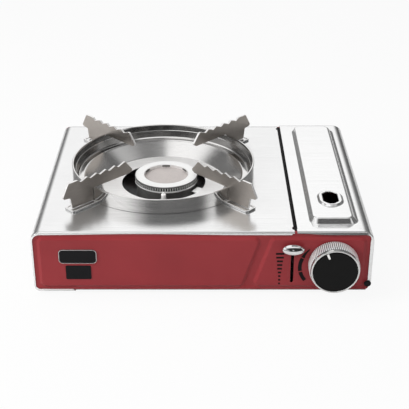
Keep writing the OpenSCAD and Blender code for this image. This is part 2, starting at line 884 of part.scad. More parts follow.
module regulator_bracket() {
    half = 22;
    color([0.74, 0.75, 0.76])
        difference() {
            union() {
                block(knob_x - half, knob_x + half, bracket_y, bracket_y + bracket_t, floor_z, cartridge_z + 20);
                block(knob_x - half, knob_x + half, bracket_y - 12, bracket_y + bracket_t,
                    floor_z, floor_z + bracket_t);
            }
            y_bar(knob_x, cartridge_z, inlet_r - 3, bracket_y - 1, bracket_y + bracket_t + 1);
            for (a = [30, 150, 270])
                y_bar(knob_x + regulator_screw_at * cos(a), cartridge_z + regulator_screw_at * sin(a), screw_r, bracket_y - 1, bracket_y + 2);
        }
}

module regulator_screws() {
    head_y = bracket_y + bracket_t;
    color([0.75, 0.75, 0.76])
        for (a = [30, 150, 270]) {
            y_bar(knob_x + regulator_screw_at * cos(a), cartridge_z + regulator_screw_at * sin(a), screw_head_r - 0.3, head_y, head_y + 1.4);
            y_bar(knob_x + regulator_screw_at * cos(a), cartridge_z + regulator_screw_at * sin(a), screw_r, bracket_y - 6, head_y + eps);
        }
}

module gas_inlet() {
    seal_seat = 5;
    color([0.76, 0.62, 0.3])
        difference() {
            union() {
                y_bar(knob_x, cartridge_z, inlet_r - 3, bracket_y, seat_y - 3);
                y_bar(knob_x, cartridge_z, inlet_r, seat_y - 6, seat_y);
                block(knob_x - 2.5, knob_x + 2.5, seat_y - 6, seat_y + 3, cartridge_z + inlet_r - 1,
                    cartridge_z + inlet_r + 2.4);
            }
            y_bar(knob_x, cartridge_z, seal_seat, seat_y - 4, seat_y + 1);
            y_bar(knob_x, cartridge_z, 2.2, bracket_y + 2, seat_y + 1);
        }
}

module inlet_seal() {
    color([0.07, 0.07, 0.07])
        difference() {
            y_bar(knob_x, cartridge_z, 5, seat_y - 4, seat_y - 0.5);
            y_bar(knob_x, cartridge_z, 2.2, seat_y - 5, seat_y + 1);
        }
}

module gas_tube() {
    color([0.78, 0.5, 0.32])
        difference() {
            gas_bar(gas_tube_r, nozzle_end, boss_start);
            gas_bar(gas_tube_r - 0.8, nozzle_end - 1, boss_start + 1);
        }
}

module nozzle() {
    color([0.78, 0.62, 0.3])
        difference() {
            union() {
                gas_bar(5.5, mix_end + 10, nozzle_end, 6);
                gas_bar(4, mix_end + 5, mix_end + 10 + eps);
                gas_bar(2.5, mix_end, mix_end + 5 + eps);
            }
            gas_bar(1.2, mix_end - 1, nozzle_end + 1);
        }
}

module mixing_tube() {
    air_holes = 4;
    air_hole_r = 4;
    mouth = mix_end + 12;
    color([0.7, 0.71, 0.72])
        difference() {
            gas_bar(mix_r, chamber_r - 3, mouth);
            gas_bar(mix_r - mix_wall, 0, mouth + 1);
            translate([burner_x, pan_y, gas_z])
                rotate([0, 0, gas_a])
                    for (i = [0:air_holes - 1])
                        translate([mix_end - air_hole_r, 0, 0])
                            rotate([45 + i * 90, 0, 0])
                                cylinder(r = air_hole_r, h = mix_r + 1);
            translate([burner_x, pan_y, gas_z])
                cylinder(r = chamber_r - cast_wall, h = 2 * bowl_h, center = true);
        }
}

module burner_body() {
    socket_r = mix_r + 1;
    socket_end = burner_r + 7.4;
    rim_t = 1.8;
    chamber_low = gas_z - mix_r - 3;
    color([0.22, 0.21, 0.2])
        difference() {
            union() {
                translate([burner_x, pan_y, bowl_low_z])
                    cylinder(r = burner_body_r, h = bowl_h);
                translate([burner_x, pan_y, cap_low_z - rim_t])
                    cylinder(r = burner_r - 0.1, h = rim_t);
                translate([burner_x, pan_y, chamber_low])
                    cylinder(r = chamber_r, h = bowl_low_z - chamber_low + eps);
                gas_bar(socket_r, 0, socket_end);
            }
            translate([burner_x, pan_y, bowl_low_z + cast_wall])
                cylinder(r = burner_body_r - cast_wall, h = bowl_h);
            translate([burner_x, pan_y, chamber_low + cast_wall])
                cylinder(r = chamber_r - cast_wall, h = bowl_h);
            gas_bar(mix_r, 0, socket_end + 1);
        }
}

module burner_cap() {
    wall = 3;
    ring_t = 1.5;
    port_z = cap_low_z + 0.2;
    notch_w = 2.2;
    color([0.45, 0.44, 0.43])
        translate([burner_x, pan_y, 0])
            difference() {
                rotate_extrude()
                    polygon([[burner_r - wall, cap_low_z], [burner_r - 0.2, cap_low_z],
                        [burner_r - 0.2, cap_top_z - ring_t], [burner_r, cap_top_z - ring_t],
                        [burner_r, cap_top_z - 0.4], [burner_r - 0.4, cap_top_z], [recess_r, cap_top_z],
                        [recess_r, cap_top_z - disc_drop], [recess_r - 2, cap_top_z - disc_drop],
                        [recess_r - 2, cap_top_z - disc_drop - 1], [recess_r + 1.4, cap_top_z - disc_drop - 1],
                        [recess_r + 1.4, cap_top_z - ring_t], [burner_r - wall, cap_top_z - ring_t]]);
                for (i = [0:port_count - 1])
                    rotate([0, 0, i * 360 / port_count])
                        translate([burner_r - wall - 1, -port_w / 2, port_z])
                            cube([wall + 2, port_w, port_h]);
                for (i = [0:notch_count - 1])
                    rotate([0, 0, 90 + i * 360 / notch_count])
                        translate([recess_r - 1, -notch_w / 2, cap_top_z - 3.1])
                            cube([3, notch_w, ring_t]);
            }
}

module burner_disc() {
    color([0.62, 0.55, 0.53])
        translate([burner_x, pan_y, cap_top_z - disc_drop])
            cylinder(r = recess_r, h = 1);
}

module burner_stand() {
    t = 0.8;
    color([0.74, 0.75, 0.76])
        difference() {
            union() {
                block(burner_x - leg_x, burner_x + leg_x, pan_y - leg_half, pan_y + leg_half,
                    bowl_low_z - t, bowl_low_z);
                for (side = [-1, 1]) {
                    block(burner_x + side * leg_x - t / 2, burner_x + side * leg_x + t / 2,
                        pan_y - leg_half, pan_y + leg_half, floor_z, bowl_low_z);
                    block(burner_x + side * (leg_x + 5) - 5, burner_x + side * (leg_x + 5) + 5,
                        pan_y - leg_half, pan_y + leg_half, floor_z, floor_z + t);
                }
                translate([burner_x, pan_y, bowl_low_z - t])
                    rotate([0, 0, tab_a])
                        translate([20, -5, 0])
                            cube([tab_r - 20 + t, 10, t]);
            }
            translate([burner_x, pan_y, bowl_low_z - 2])
                cylinder(r = chamber_r, h = 4);
        }
}

module burner_bracket() {
    t = 0.8;
    tab_top = top_z - dish_depth + 0.2;
    color([0.82, 0.82, 0.83])
        translate([burner_x, pan_y, 0])
            rotate([0, 0, tab_a]) {
                translate([tab_r, -5, bowl_low_z])
                    cube([t, 10, tab_top - bowl_low_z]);
                translate([tab_r - 6, -6, tab_top - t])
                    cube([6 + t, 12, t]);
            }
}

module heat_shield() {
    plate_z = floor_z + 4;
    half = 30;
    front = pan_y - 28;
    back = pan_y + 60;
    slot_half = 20;
    slot_w = 3;
    slot_pitch = 8;
    slot_y = pan_y + 18;
    color([0.78, 0.79, 0.8]) {
        difference() {
            block(burner_x - half, burner_x + half, front, back, plate_z, plate_z + sheet_t);
            for (i = [0:4])
                block(burner_x - slot_half, burner_x + slot_half, slot_y + i * slot_pitch,
                    slot_y + i * slot_pitch + slot_w, plate_z - 1, plate_z + 2);
        }
        for (side = [-1, 1])
            block(burner_x + side * (half - 1) - 1, burner_x + side * (half - 1) + 1,
                front, back, floor_z, plate_z + eps);
    }
}

module electrode_ceramic() {
    tip = 0.8;
    color([0.93, 0.92, 0.9])
        translate([electrode_x, electrode_y, electrode_low])
            difference() {
                union() {
                    cylinder(r = electrode_r, h = electrode_top - electrode_low - tip);
                    translate([0, 0, electrode_top - electrode_low - tip - eps])
                        cylinder(r1 = electrode_r, r2 = electrode_r - tip, h = tip + eps);
                }
                translate([0, 0, -1])
                    cylinder(r = electrode_pin_r, h = electrode_top);
            }
}

module electrode_pin() {
    sunk = 6;
    proud = 1.6;
    color([0.6, 0.58, 0.55])
        translate([electrode_x, electrode_y, electrode_low + sunk])
            cylinder(r = electrode_pin_r, h = electrode_top - electrode_low - sunk + proud);
}

module electrode_clamp() {
    clamp_z = cap_low_z - 14;
    clamp_h = 8;
    ear_half = 4;
    color([0.74, 0.75, 0.76])
        difference() {
            union() {
                translate([electrode_x, electrode_y, clamp_z])
                    cylinder(r = electrode_r + 1, h = clamp_h);
                block(electrode_x - ear_half, electrode_x + ear_half, electrode_y + 1,
                    pan_y - burner_body_r + ear_half, clamp_z, clamp_z + 1);
            }
            translate([electrode_x, electrode_y, clamp_z - 1])
                cylinder(r = electrode_r, h = clamp_h + 2);
            translate([burner_x, pan_y, clamp_z - 1])
                cylinder(r = burner_body_r, h = clamp_h + 2);
        }
}

// Sweeps a tube along a list of points
function unit(v) = v / norm(v);
function lead_x(share) = share <= 1 ? electrode_x + share * (wall_x - electrode_x)
    : wall_x + (share - 1) * (igniter_x - wall_x);
function lead_point(i) = [lead_x(lead_route[i][0]), electrode_y + lead_route[i][1],
    floor_z + lead_route[i][2]];
function lead_way(i) = unit(lead_point(min(i + 1, len(lead_route) - 1)) - lead_point(max(i - 1, 0)));
function lead_way_end(i) = i == 0 ? [0, 1, 0] : i == len(lead_route) - 1 ? [0, 0, 1] : lead_way(i);

module ignition_lead() {
    n = len(lead_route);
    rings = [for (i = [0:n - 1])
        let (w = lead_way_end(i), u = unit(cross(w, [1, -1.2, -1])), v = cross(w, u))
        for (k = [0:lead_sides - 1])
            lead_point(i) + lead_r * (cos(k * 360 / lead_sides) * u + sin(k * 360 / lead_sides) * v)];
    sides = [for (i = [0:n - 2], k = [0:lead_sides - 1])
        let (a = i * lead_sides + k, b = i * lead_sides + (k + 1) % lead_sides)
        for (face = [[a, b, b + lead_sides], [a, b + lead_sides, a + lead_sides]]) face];
    caps = [[for (k = [lead_sides - 1:-1:0]) k], [for (k = [0:lead_sides - 1]) (n - 1) * lead_sides + k]];
    color([0.1, 0.1, 0.1])
        polyhedron(points = rings, faces = concat(sides, caps), convexity = 4);
}

module lead_clips() {
    color([0.85, 0.85, 0.82])
        for (i = [8, 10])
            translate([lead_point(i)[0], lead_point(i)[1], floor_z])
                difference() {
                    translate([-3, -4, 0])
                        cube([6, 8, 6]);
                    translate([-4, -lead_r - 0.6, -1])
                        cube([8, 2 * lead_r + 1.2, 5.5]);
                }
}

module hinge_pins() {
    head_gap = lid_gap + sheet_t + move_gap;
    color([0.06, 0.06, 0.06]) {
        y_bar(hinge_x, hinge_z, pin_r, front_y - head_gap - eps, front_y + sheet_t + 1);
        y_bar(hinge_x, hinge_z, pin_head_r, front_y - head_gap - pin_head_t, front_y - head_gap);
        y_bar(hinge_x, hinge_z, pin_r, back_y - sheet_t - 1, back_y + head_gap + eps);
        y_bar(hinge_x, hinge_z, pin_head_r, back_y + head_gap, back_y + head_gap + pin_head_t);
    }
}

module lever_pivot() {
    head_x = lever_x - arm_t / 2 - move_gap;
    color([0.7, 0.71, 0.72]) {
        x_bar(lever_y, lever_z, pivot_r, head_x - eps, wall_x + sheet_t);
        x_bar(lever_y, lever_z, pivot_r + 2, head_x - 1.2, head_x);
    }
}

module guide_stud() {
    head_x = hook_x - move_gap;
    color([0.7, 0.71, 0.72]) {
        x_bar(stud_y, lever_z, stud_r, head_x - eps, wall_x + sheet_t);
        x_bar(stud_y, lever_z, stud_r + 2, head_x - 1, head_x);
    }
}

module lid_region(side, top) {
    round_box(lid_left, right_x - side, hinge_z, lid_z - top, 1, lid_roll_r - max(side, top), 0.5, 0.5);
}

module lid_flange(y0) {
    stand(y0, y0 + sheet_t) {
        difference() {
            union() {
                difference() {
                    lid_region(0, 0);
                    lid_region(lid_side, lid_rise + lid_flange);
                    translate([lid_left - 1, hinge_z - 1])
                        square([right_x - lid_side - lid_left + 1, lid_z - lid_rise - lid_flange - hinge_z + 1]);
                }
                translate([hinge_x, hinge_z])
                    circle(r = ear_r);
            }
            translate([hinge_x, hinge_z])
                circle(r = pin_r + run_gap);
        }
    }
}

// A slab of the raised panel, drawn in from its foot by w
module emboss_slab(w, z, h) {
    r = emboss_r - w;
    translate([0, 0, z])
        linear_extrude(height = h)
            for (x = [emboss_x0 + emboss_r, emboss_x1 - emboss_r], y = [emboss_y0 + emboss_r, emboss_y1 - emboss_r])
                translate([x, y])
                    circle(r = r, $fn = hull_fn);
}

module emboss_solid(drop, shrink) {
    hull() {
        emboss_slab(shrink, lid_z - sheet_t - drop, eps);
        emboss_slab(emboss_wall + shrink, lid_z + emboss_h - drop - eps, eps);
    }
}

module oval_slab(w, l, z, h) {
    translate([window_x, front_y + window_y, z])
        linear_extrude(height = h)
            for (side = [-1, 1])
                translate([0, side * (l - w) / 2])
                    circle(r = w / 2, $fn = hull_fn);
}

module oval_solid(drop, shrink) {
    run = 2;
    hull() {
        oval_slab(boss_w - 2 * shrink, boss_l - 2 * shrink, lid_z + emboss_h - sheet_t - drop, eps);
        oval_slab(boss_w - 2 * run - 2 * shrink, boss_l - 2 * run - 2 * shrink,
            lid_z + emboss_h + boss_h - drop - eps, eps);
    }
}

module cartridge_lid() {
    lip_inset = fold_d + 2;
    // The side wall's lower corners are cut away, so that they clear the panels when the lid is open
    notch_h = panel_right - hinge_x + move_gap + 0.2;
    notch_d = sheet_t + lid_gap + move_gap;
    color([0.88, 0.88, 0.89])
        difference() {
            union() {
                difference() {
                    stand(lid_y0, lid_y1) {
                        translate([lid_left, lid_z - sheet_t])
                            square([lid_w - lid_roll_r, sheet_t]);
                        quarter(lid_roll_r, sheet_t, right_x - lid_roll_r, lid_z - lid_roll_r, 1, 1);
                        translate([right_x - sheet_t, hinge_z])
                            square([sheet_t, lid_z - lid_roll_r - hinge_z]);
                    }
                    hull()
                        emboss_slab(sheet_t, lid_z - sheet_t - 1, sheet_t + 2);
                }
                difference() {
                    emboss_solid(0, 0);
                    emboss_solid(sheet_t, sheet_t);
                    hull()
                        oval_slab(boss_w - 2 * sheet_t, boss_l - 2 * sheet_t, lid_z + emboss_h - sheet_t - 2, 6);
                }
                difference() {
                    oval_solid(0, 0);
                    oval_solid(sheet_t, sheet_t);
                }
                lid_flange(lid_y0);
                lid_flange(lid_y1 - sheet_t);
                block(lid_left, lid_left + sheet_t, front_y + lip_inset, back_y - lip_inset,
                    lid_z - sheet_t - lid_lip, lid_z - eps);
            }
            translate([window_x, front_y + window_y, lid_z])
                linear_extrude(height = 20)
                    window_outline();
            for (y = [lid_y0 + sheet_t, lid_y1 - sheet_t - notch_d])
                block(right_x - lid_side, right_x + 1, y, y + notch_d, hinge_z - 1, hinge_z + notch_h);
        }
}

module window_outline() {
    cut = window_w / 3;
    polygon([[-window_w / 2, -window_l / 2 + cut], [-window_w / 2 + cut, -window_l / 2],
        [window_w / 2 - cut, -window_l / 2], [window_w / 2, -window_l / 2 + cut],
        [window_w / 2, window_l / 2 - cut], [window_w / 2 - cut, window_l / 2],
        [-window_w / 2 + cut, window_l / 2], [-window_w / 2, window_l / 2 - cut]]);
}

module knob_skirt() {
    depth = skirt_back_y - knob_front_y;
    seat = depth - pointer_h - knob_face_t;
    web = seat - knob_web;
    color([0.83, 0.84, 0.85])
        translate([knob_x, skirt_back_y, knob_z])
            rotate([90, 0, 0])
                rotate_extrude()
                    polygon([[0, web], [knob_r - knob_wall - 0.7, web], [knob_r - knob_wall, 0], [knob_r, 0],
                        [knob_r - 0.7, depth - 2.2], [knob_r - 1.4, depth - 0.6], [knob_face_r + 0.6, depth - 0.4],
                        [knob_face_r, depth - pointer_h - 0.4], [knob_face_r, seat], [0, seat]]);
}

module knob_face() {
    color([0.03, 0.03, 0.03])
        y_bar(knob_x, knob_z, knob_face_r, face_y, face_y + knob_face_t);
}

module knob_pointer() {
    inner = knob_face_r - pointer_l;
    color([0.93, 0.93, 0.93])
        translate([knob_x, 0, knob_z])
            rotate([0, -pointer_at, 0])
                block(inner, knob_face_r - 0.4, knob_front_y, face_y, -pointer_w / 2, pointer_w / 2);
}

module knob_shaft() {
    front_end = face_y + knob_face_t + knob_web;
    hub_r = 6.5;
    color([0.7, 0.71, 0.72]) {
        y_bar(knob_x, knob_z, shaft_r, front_end, valve_y0 + 9.4);
        y_bar(knob_x, knob_z, hub_r, front_end, front_end + 9);
    }
}

// The lever is drawn level, then turned up by half its swing
module lever_plane() {
    translate([lever_x, lever_y, lever_z])
        rotate([-lever_half, 0, 0])
            children();
}

module lever_arm() {
    arm_end = lever_knob_seat;
    color([0.78, 0.79, 0.8])
        lever_plane()
            difference() {
                union() {
                    x_bar(0, 0, hub_r, -arm_t / 2, arm_t / 2);
                    block(-arm_t / 2, arm_t / 2, -arm_end, 0, -arm_w / 2, arm_w / 2);
                    block(-arm_t / 2, arm_t / 2, -arm_w / 2, arm_w / 2, 0, drive_l);
                    x_bar(0, drive_l, arm_w / 2, -arm_t / 2, arm_t / 2);
                }
                x_bar(0, 0, pivot_r + run_gap, -arm_t / 2 - 1, arm_t / 2 + 1);
                x_bar(0, drive_l, drive_pin_r, -arm_t / 2 - 1, arm_t / 2 + 1);
            }
}

module drive_pin() {
    pin_reach = wall_x - 0.25 - lever_x;
    color([0.7, 0.71, 0.72])
        lever_plane()
            x_bar(0, drive_l, drive_pin_r, -arm_t / 2, pin_reach);
}

module knob_slab(w, h, y, t) {
    points = [for (a = [0:10:350]) [w / 2 * cos(a), h / 2 * sin(a)]];
    translate([0, y + t, 0])
        rotate([90, 0, 0])
            linear_extrude(height = t)
                polygon(points);
}

module lever_knob() {
    w = lever_knob_w;
    h = lever_knob_h;
    t = lever_knob_t;
    color([0.85, 0.86, 0.87])
        lever_plane()
            translate([0, -lever_knob_seat, 0])
                hull() {
                    knob_slab(w - 1.6, h - 1.6, -knob_skin, knob_skin);
                    knob_slab(w, h, -1, knob_skin);
                    knob_slab(w, h, -t + 3, knob_skin);
                    knob_slab(w - 2, h - 2, -t + 1, knob_skin);
                    knob_slab(w - 8, h - 6, -t, knob_skin);
                }
}

module collar_hook() {
    hook_low = lever_z - 6;
    hook_high = lever_z + 16;
    hook_y0 = lever_y - 6;
    hook_y1 = stud_y + hook_stroke + 7;
    claw_t = 1.5;
    pin_y = lever_y + drive_l * sin(lever_half);
    pin_low = lever_z + drive_l * cos(lever_half) - drive_pin_r - 0.5;
    pin_high = lever_z + drive_l + drive_pin_r + 0.5;
    color([0.8, 0.81, 0.82])
        difference() {
            union() {
                block(hook_x, hook_x + hook_t, hook_y0, hook_y1, hook_low, lever_z + 6);
                block(hook_x, hook_x + hook_t, hook_y0, claw_y + claw_t, hook_low, hook_high);
                block(hook_x, knob_x - neck_r + 4, claw_y, claw_y + claw_t, lever_z, hook_high);
            }
            y_bar(knob_x, cartridge_z, neck_r, claw_y - 1, claw_y + claw_t + 1);
            slide_slot(lever_y, pivot_r + 0.15);
            slide_slot(stud_y, stud_r + 0.15);
            block(hook_x - 1, hook_x + hook_t + 1, pin_y - drive_pin_r - 0.35, pin_y + drive_pin_r + 0.35,
                pin_low, pin_high);
        }
}

// A slot in the hook that lets it travel forward past a fixed pin
module slide_slot(y, r) {
    travel = hook_stroke + 0.6;
    x_bar(y, lever_z, r, hook_x - 1, hook_x + hook_t + 1);
    x_bar(y + travel, lever_z, r, hook_x - 1, hook_x + hook_t + 1);
    block(hook_x - 1, hook_x + hook_t + 1, y, y + travel, lever_z - r, lever_z + r);
}

module wind_ring() {
    z0 = top_z + lift;
    z1 = rim_z;
    inner_top = ring_r - rim_w;
    t = sheet_t;
    color([0.7, 0.68, 0.66])
        translate([ring_x, pan_y, 0])
            rotate_extrude()
                polygon([[ring_r, z0], [ring_r, z1 - t], [ring_r - t, z1], [inner_top + t, z1],
                    [inner_top, z1 - t], [ring_foot_r, z0 + t], [ledge_r, z0 + t], [ledge_r, z0],
                    [ring_foot_r + t, z0], [inner_top + t, z1 - t], [ring_r - t, z1 - t],
                    [ring_r - t, z0]]);
}

module drip_dish() {
    z0 = top_z + lift;
    t = sheet_t;
    low = top_z - dish_depth;
    crown = 1.9;
    color([0.7, 0.69, 0.68])
        translate([ring_x, pan_y, 0])
            rotate_extrude()
                polygon([[ledge_r + 1.6, z0], [ledge_r + 1.6, z0 - t], [ledge_r - 0.2, z0 - t],
                    [dish_floor_r - 0.4, low - t], [dish_hole_r, low + crown - t],
                    [dish_hole_r, low + crown], [dish_floor_r + 0.2, low], [ledge_r + 0.5, z0]]);
}

// Points of one blade in radius and height: its foot, beak, level end, saw teeth, nose and underside
function blade_points() =
    let (top = top_z + blade_top, drop = tooth_depth, leg_r = ring_r + 0.3,
        last = blade_foot_r - 21.6, flat = blade_foot_r - 9)
    concat(
        [[leg_r, pad_top_z], [blade_foot_r, pad_top_z], [blade_foot_r + 2, pad_top_z + 12.3],
            [blade_out_r - 1.5, pad_top_z + 13.2], [blade_out_r, pad_top_z + 15.2],
            [blade_foot_r + 4.5, top - 2.3], [blade_foot_r + 3, top], [flat, top], [flat - 3.8, top - drop]],
        [for (i = [0:tooth_count - 1], p = [[0, 0], [4.5, drop]])
            let (r = last - i * tooth_pitch)
            if (i < tooth_count - 1 || p[0] == 0) [r - p[0], top - p[1]]],
        [[last - (tooth_count - 1) * tooth_pitch - 2, top - 0.2], [blade_in_r, top - 11],
            [blade_in_r + 0.5, top - 13], [blade_in_r + 4, rim_z], [leg_r, rim_z]]);

module blade(i) {
    color([0.5, 0.47, 0.44])
        translate([ring_x, pan_y, 0])
            rotate([90, 0, blade_angles[i]])
                linear_extrude(height = blade_t, center = true)
                    polygon(blade_points());
}

module support_front_left() {
    blade(0);
}

module support_front_right() {
    blade(1);
}

module support_back_right() {
    blade(2);
}

module support_back_left() {
    blade(3);
}

module support_pads() {
    corner = 3;
    hollow = 0.6;
    color([0.8, 0.8, 0.8])
        for (a = blade_angles)
            translate([ring_x, pan_y, top_z + lift])
                rotate([0, 0, a])
                    difference() {
                        linear_extrude(height = pad_t)
                            difference() {
                                round_box(ring_r - 4, pad_out_r, -pad_w / 2, pad_w / 2,
                                    corner, corner, corner, corner);
                                circle(r = ring_r);
                            }
                        translate([ring_r - 8, blade_t / 2 + 0.4, pad_t - hollow])
                            cube([pad_out_r - ring_r + 8 - pad_edge, pad_w / 2 - pad_edge - blade_t / 2 - 0.4, 2]);
                        translate([ring_r - 8, -pad_w / 2 + pad_edge, pad_t - hollow])
                            cube([pad_out_r - ring_r + 8 - pad_edge, pad_w / 2 - pad_edge - blade_t / 2 - 0.4, 2]);
                    }
}

base_tray();
feet();
foot_screws();
front_panel();
rear_panel();
top_cover();
cover_screws();
rear_screws();
badge_border();
badge_plate();
notice_plate();
partition();
cartridge_cradle();
regulator_body();
diaphragm_cover();
regulator_bracket();
regulator_screws();
gas_inlet();
inlet_seal();
valve_housing();
piezo_igniter();
gas_tube();
nozzle();
mixing_tube();
burner_body();
burner_cap();
burner_disc();
burner_stand();
burner_bracket();
heat_shield();
electrode_ceramic();
electrode_pin();
electrode_clamp();
ignition_lead();
lead_clips();
hinge_pins();
lever_pivot();
guide_stud();
lid_buttons();
cartridge_lid();
knob_skirt();
knob_face();
knob_pointer();
knob_shaft();
lever_arm();
lever_knob();
drive_pin();
collar_hook();
wind_ring();
drip_dish();
support_front_left();
support_front_right();
support_back_right();
support_back_left();
support_pads();
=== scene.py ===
import json
import math

import bmesh
import bpy
from mathutils import Matrix, Vector
from mathutils.geometry import delaunay_2d_cdt


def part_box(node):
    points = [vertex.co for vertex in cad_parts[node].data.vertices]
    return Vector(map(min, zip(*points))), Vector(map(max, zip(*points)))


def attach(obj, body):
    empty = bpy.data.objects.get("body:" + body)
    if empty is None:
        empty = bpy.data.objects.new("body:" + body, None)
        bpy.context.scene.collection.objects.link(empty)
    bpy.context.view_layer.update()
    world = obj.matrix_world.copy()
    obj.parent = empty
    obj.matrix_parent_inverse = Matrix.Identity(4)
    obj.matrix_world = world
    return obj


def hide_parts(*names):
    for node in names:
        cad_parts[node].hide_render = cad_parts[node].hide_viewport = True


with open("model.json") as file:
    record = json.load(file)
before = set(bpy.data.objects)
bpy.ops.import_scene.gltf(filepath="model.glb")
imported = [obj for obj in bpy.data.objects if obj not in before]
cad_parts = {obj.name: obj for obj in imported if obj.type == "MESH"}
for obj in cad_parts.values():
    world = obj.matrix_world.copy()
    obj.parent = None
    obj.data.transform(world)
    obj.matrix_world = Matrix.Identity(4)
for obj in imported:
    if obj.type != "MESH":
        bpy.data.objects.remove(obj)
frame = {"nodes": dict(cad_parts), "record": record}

# Butane cassette stove. Lengths in the dictionaries are millimetres, the scene itself is in metres.

mm = 0.001
scene = bpy.context.scene
nodes = frame["nodes"]
slotOf = {part["node"]: part["material_slot"] for part in frame["record"]["subparts"]}
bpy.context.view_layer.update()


def boxMm(node):
    low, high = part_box(node)
    return low / mm, high / mm


sheet = 0.8      # thickness of all sheet metal
fieldRise = 2    # how far the raised fields of the front panel stand out
coverLow, coverHigh = boxMm("top_cover")
lidLow, lidHigh = boxMm("cartridge_lid")
ringLow, ringHigh = boxMm("wind_ring")
capLow, capHigh = boxMm("burner_cap")
skirtLow, skirtHigh = boxMm("knob_skirt")

leftX, coverRight, topZ, baseZ = coverLow.x, coverHigh.x, coverHigh.z, coverLow.z
frontY, backY = coverLow.y + sheet, coverHigh.y - sheet
lidLeft, rightX, lidZ = lidLow.x, lidHigh.x, coverHigh.z + 1
hingeX, hingeZ = rightX - 3.5, 13
ringX, ringY = (ringLow.x + ringHigh.x) / 2, (ringLow.y + ringHigh.y) / 2
burnerX, burnerY = (capLow.x + capHigh.x) / 2, (capLow.y + capHigh.y) / 2
knobX, knobZ = (skirtLow.x + skirtHigh.x) / 2, (skirtLow.z + skirtHigh.z) / 2

# shader and geometry nodes


def addNode(tree, kind, inputs=None, **settings):
    # inputs holds a plain value or another node's socket for each input, by name or number
    node = tree.nodes.new(kind)
    for key, value in settings.items():
        setattr(node, key, value)
    for socket, value in (inputs or {}).items():
        if isinstance(value, bpy.types.NodeSocket):
            tree.links.new(value, node.inputs[socket])
        else:
            node.inputs[socket].default_value = value
    return node


def combine(tree, a, b, operation="ADD"):
    return addNode(tree, "ShaderNodeMath", {0: a, 1: b}, operation=operation).outputs[0]


def spread(tree, value, low, high, fromLow=0.3, fromHigh=0.7, curve="LINEAR"):
    return addNode(tree, "ShaderNodeMapRange", {"Value": value, "From Min": fromLow, "From Max": fromHigh,
                                                "To Min": low, "To Max": high},
                   interpolation_type=curve).outputs["Result"]


# camera, world, lamps, floor

camera = {"place": (0.0022, -0.9868, 0.5444), "tilt": 62.81, "lens": 87.4, "film": 36, "clip": (0.05, 50)}
studio = {
    "backdrop": 1.0,      # what the camera sees behind the object
    "darkSide": 0.03,     # what metal sees where no card stands
    "horizon": (0.07, 0.4, 0.2, 1.0),  # the cards fade towards the horizon
    "ambient": 0.5,
    "floor": (0.62, 0.62, 0.62),
    "floorGlow": 0.91,
    "floorRoughness": 0.9,
    "floorSpecular": 0.1,
    "floorSize": 60.0,
    "aim": (0, 0, 0.05),
}
# the cards that metal reflects: from, to and the brightness at both, along each axis
cards = {
    "sweep": {"X": ((-0.44, -0.15, 0.14, 1.0), (0.15, 0.38, 1.0, 0.14)), "Y": ((-0.1, 0.35, 0.0, 1.0),),
              "Z": ((0.6, 0.84, 1.0, 0.2),)},
    "left": {"X": ((-0.72, -0.2, 1.0, 0.0),), "Y": ((0.1, 0.45, 1.0, 0.0),), "Z": ((0.7, 0.85, 1.0, 0.0),)},
    "right": {"X": ((0.4, 0.85, 0.0, 0.8),), "Y": ((-0.6, -0.4, 0.0, 1.0), (-0.3, -0.12, 1.0, 0.0))},
    "overhead": {"X": ((-0.6, -0.46, 0.0, 1.0), (-0.08, 0.02, 1.0, 0.0)), "Z": ((0.74, 0.82, 0.0, 1.0),)},
    "overheadRight": {"X": ((-0.1, 0.0, 0.0, 1.0), (0.2, 0.5, 0.16, 0.5)), "Z": ((0.74, 0.82, 0.0, 1.0),)},
    "front": {"X": ((-0.65, -0.4, 0.0, 1.0), (0.4, 0.65, 1.0, 0.0)), "Y": ((-0.5, -0.36, 1.0, 0.0),),
              "Z": ((0.6, 0.7, 0.0, 0.95),)},
    "lid": {"X": ((0.02, 0.07, 0.0, 1.0), (0.17, 0.24, 1.0, 0.0)), "Z": ((0.84, 0.92, 0.0, 0.95),),
            "Y": ((-0.24, -0.19, 0.0, 1.0), (-0.13, -0.07, 1.0, 0.0))},
    "lowLeft": {"X": ((-0.3, -0.04, 1.0, 0.0),), "Y": ((-0.6, -0.2, 1.0, 0.0),),
                "Z": ((-0.1, 0.05, 0.0, 1.0), (0.24, 0.34, 1.0, 0.0))},
    "flange": {"X": ((0.04, 0.06, 0.0, 1.0), (0.085, 0.12, 1.0, 0.0)), "Y": ((-0.9, -0.7, 1.0, 0.0),),
               "Z": ((0.02, 0.08, 0.0, 1.0), (0.24, 0.34, 1.0, 0.0))},
}
lamps = [
    {"name": "overheadStrip", "place": (-0.46, 0.1, 1.3), "size": (0.2, 1.1), "watts": 6.0},
    {"name": "keyLeft", "place": (-1.6, -0.75, 1.15), "size": (0.9, 0.9), "watts": 34.0},
    {"name": "fillFront", "place": (0.35, -1.7, 1.5), "size": (1.2, 0.7), "watts": 10.0},
]


def addObject(name, data):
    obj = bpy.data.objects.new(name, data)
    scene.collection.objects.link(obj)
    return obj


def makeCamera():
    data = bpy.data.cameras.new("camera")
    data.lens, data.sensor_width = camera["lens"], camera["film"]
    data.clip_start, data.clip_end = camera["clip"]
    scene.camera = addObject("camera", data)
    scene.camera.location = camera["place"]
    scene.camera.rotation_euler = (math.radians(camera["tilt"]), 0, 0)


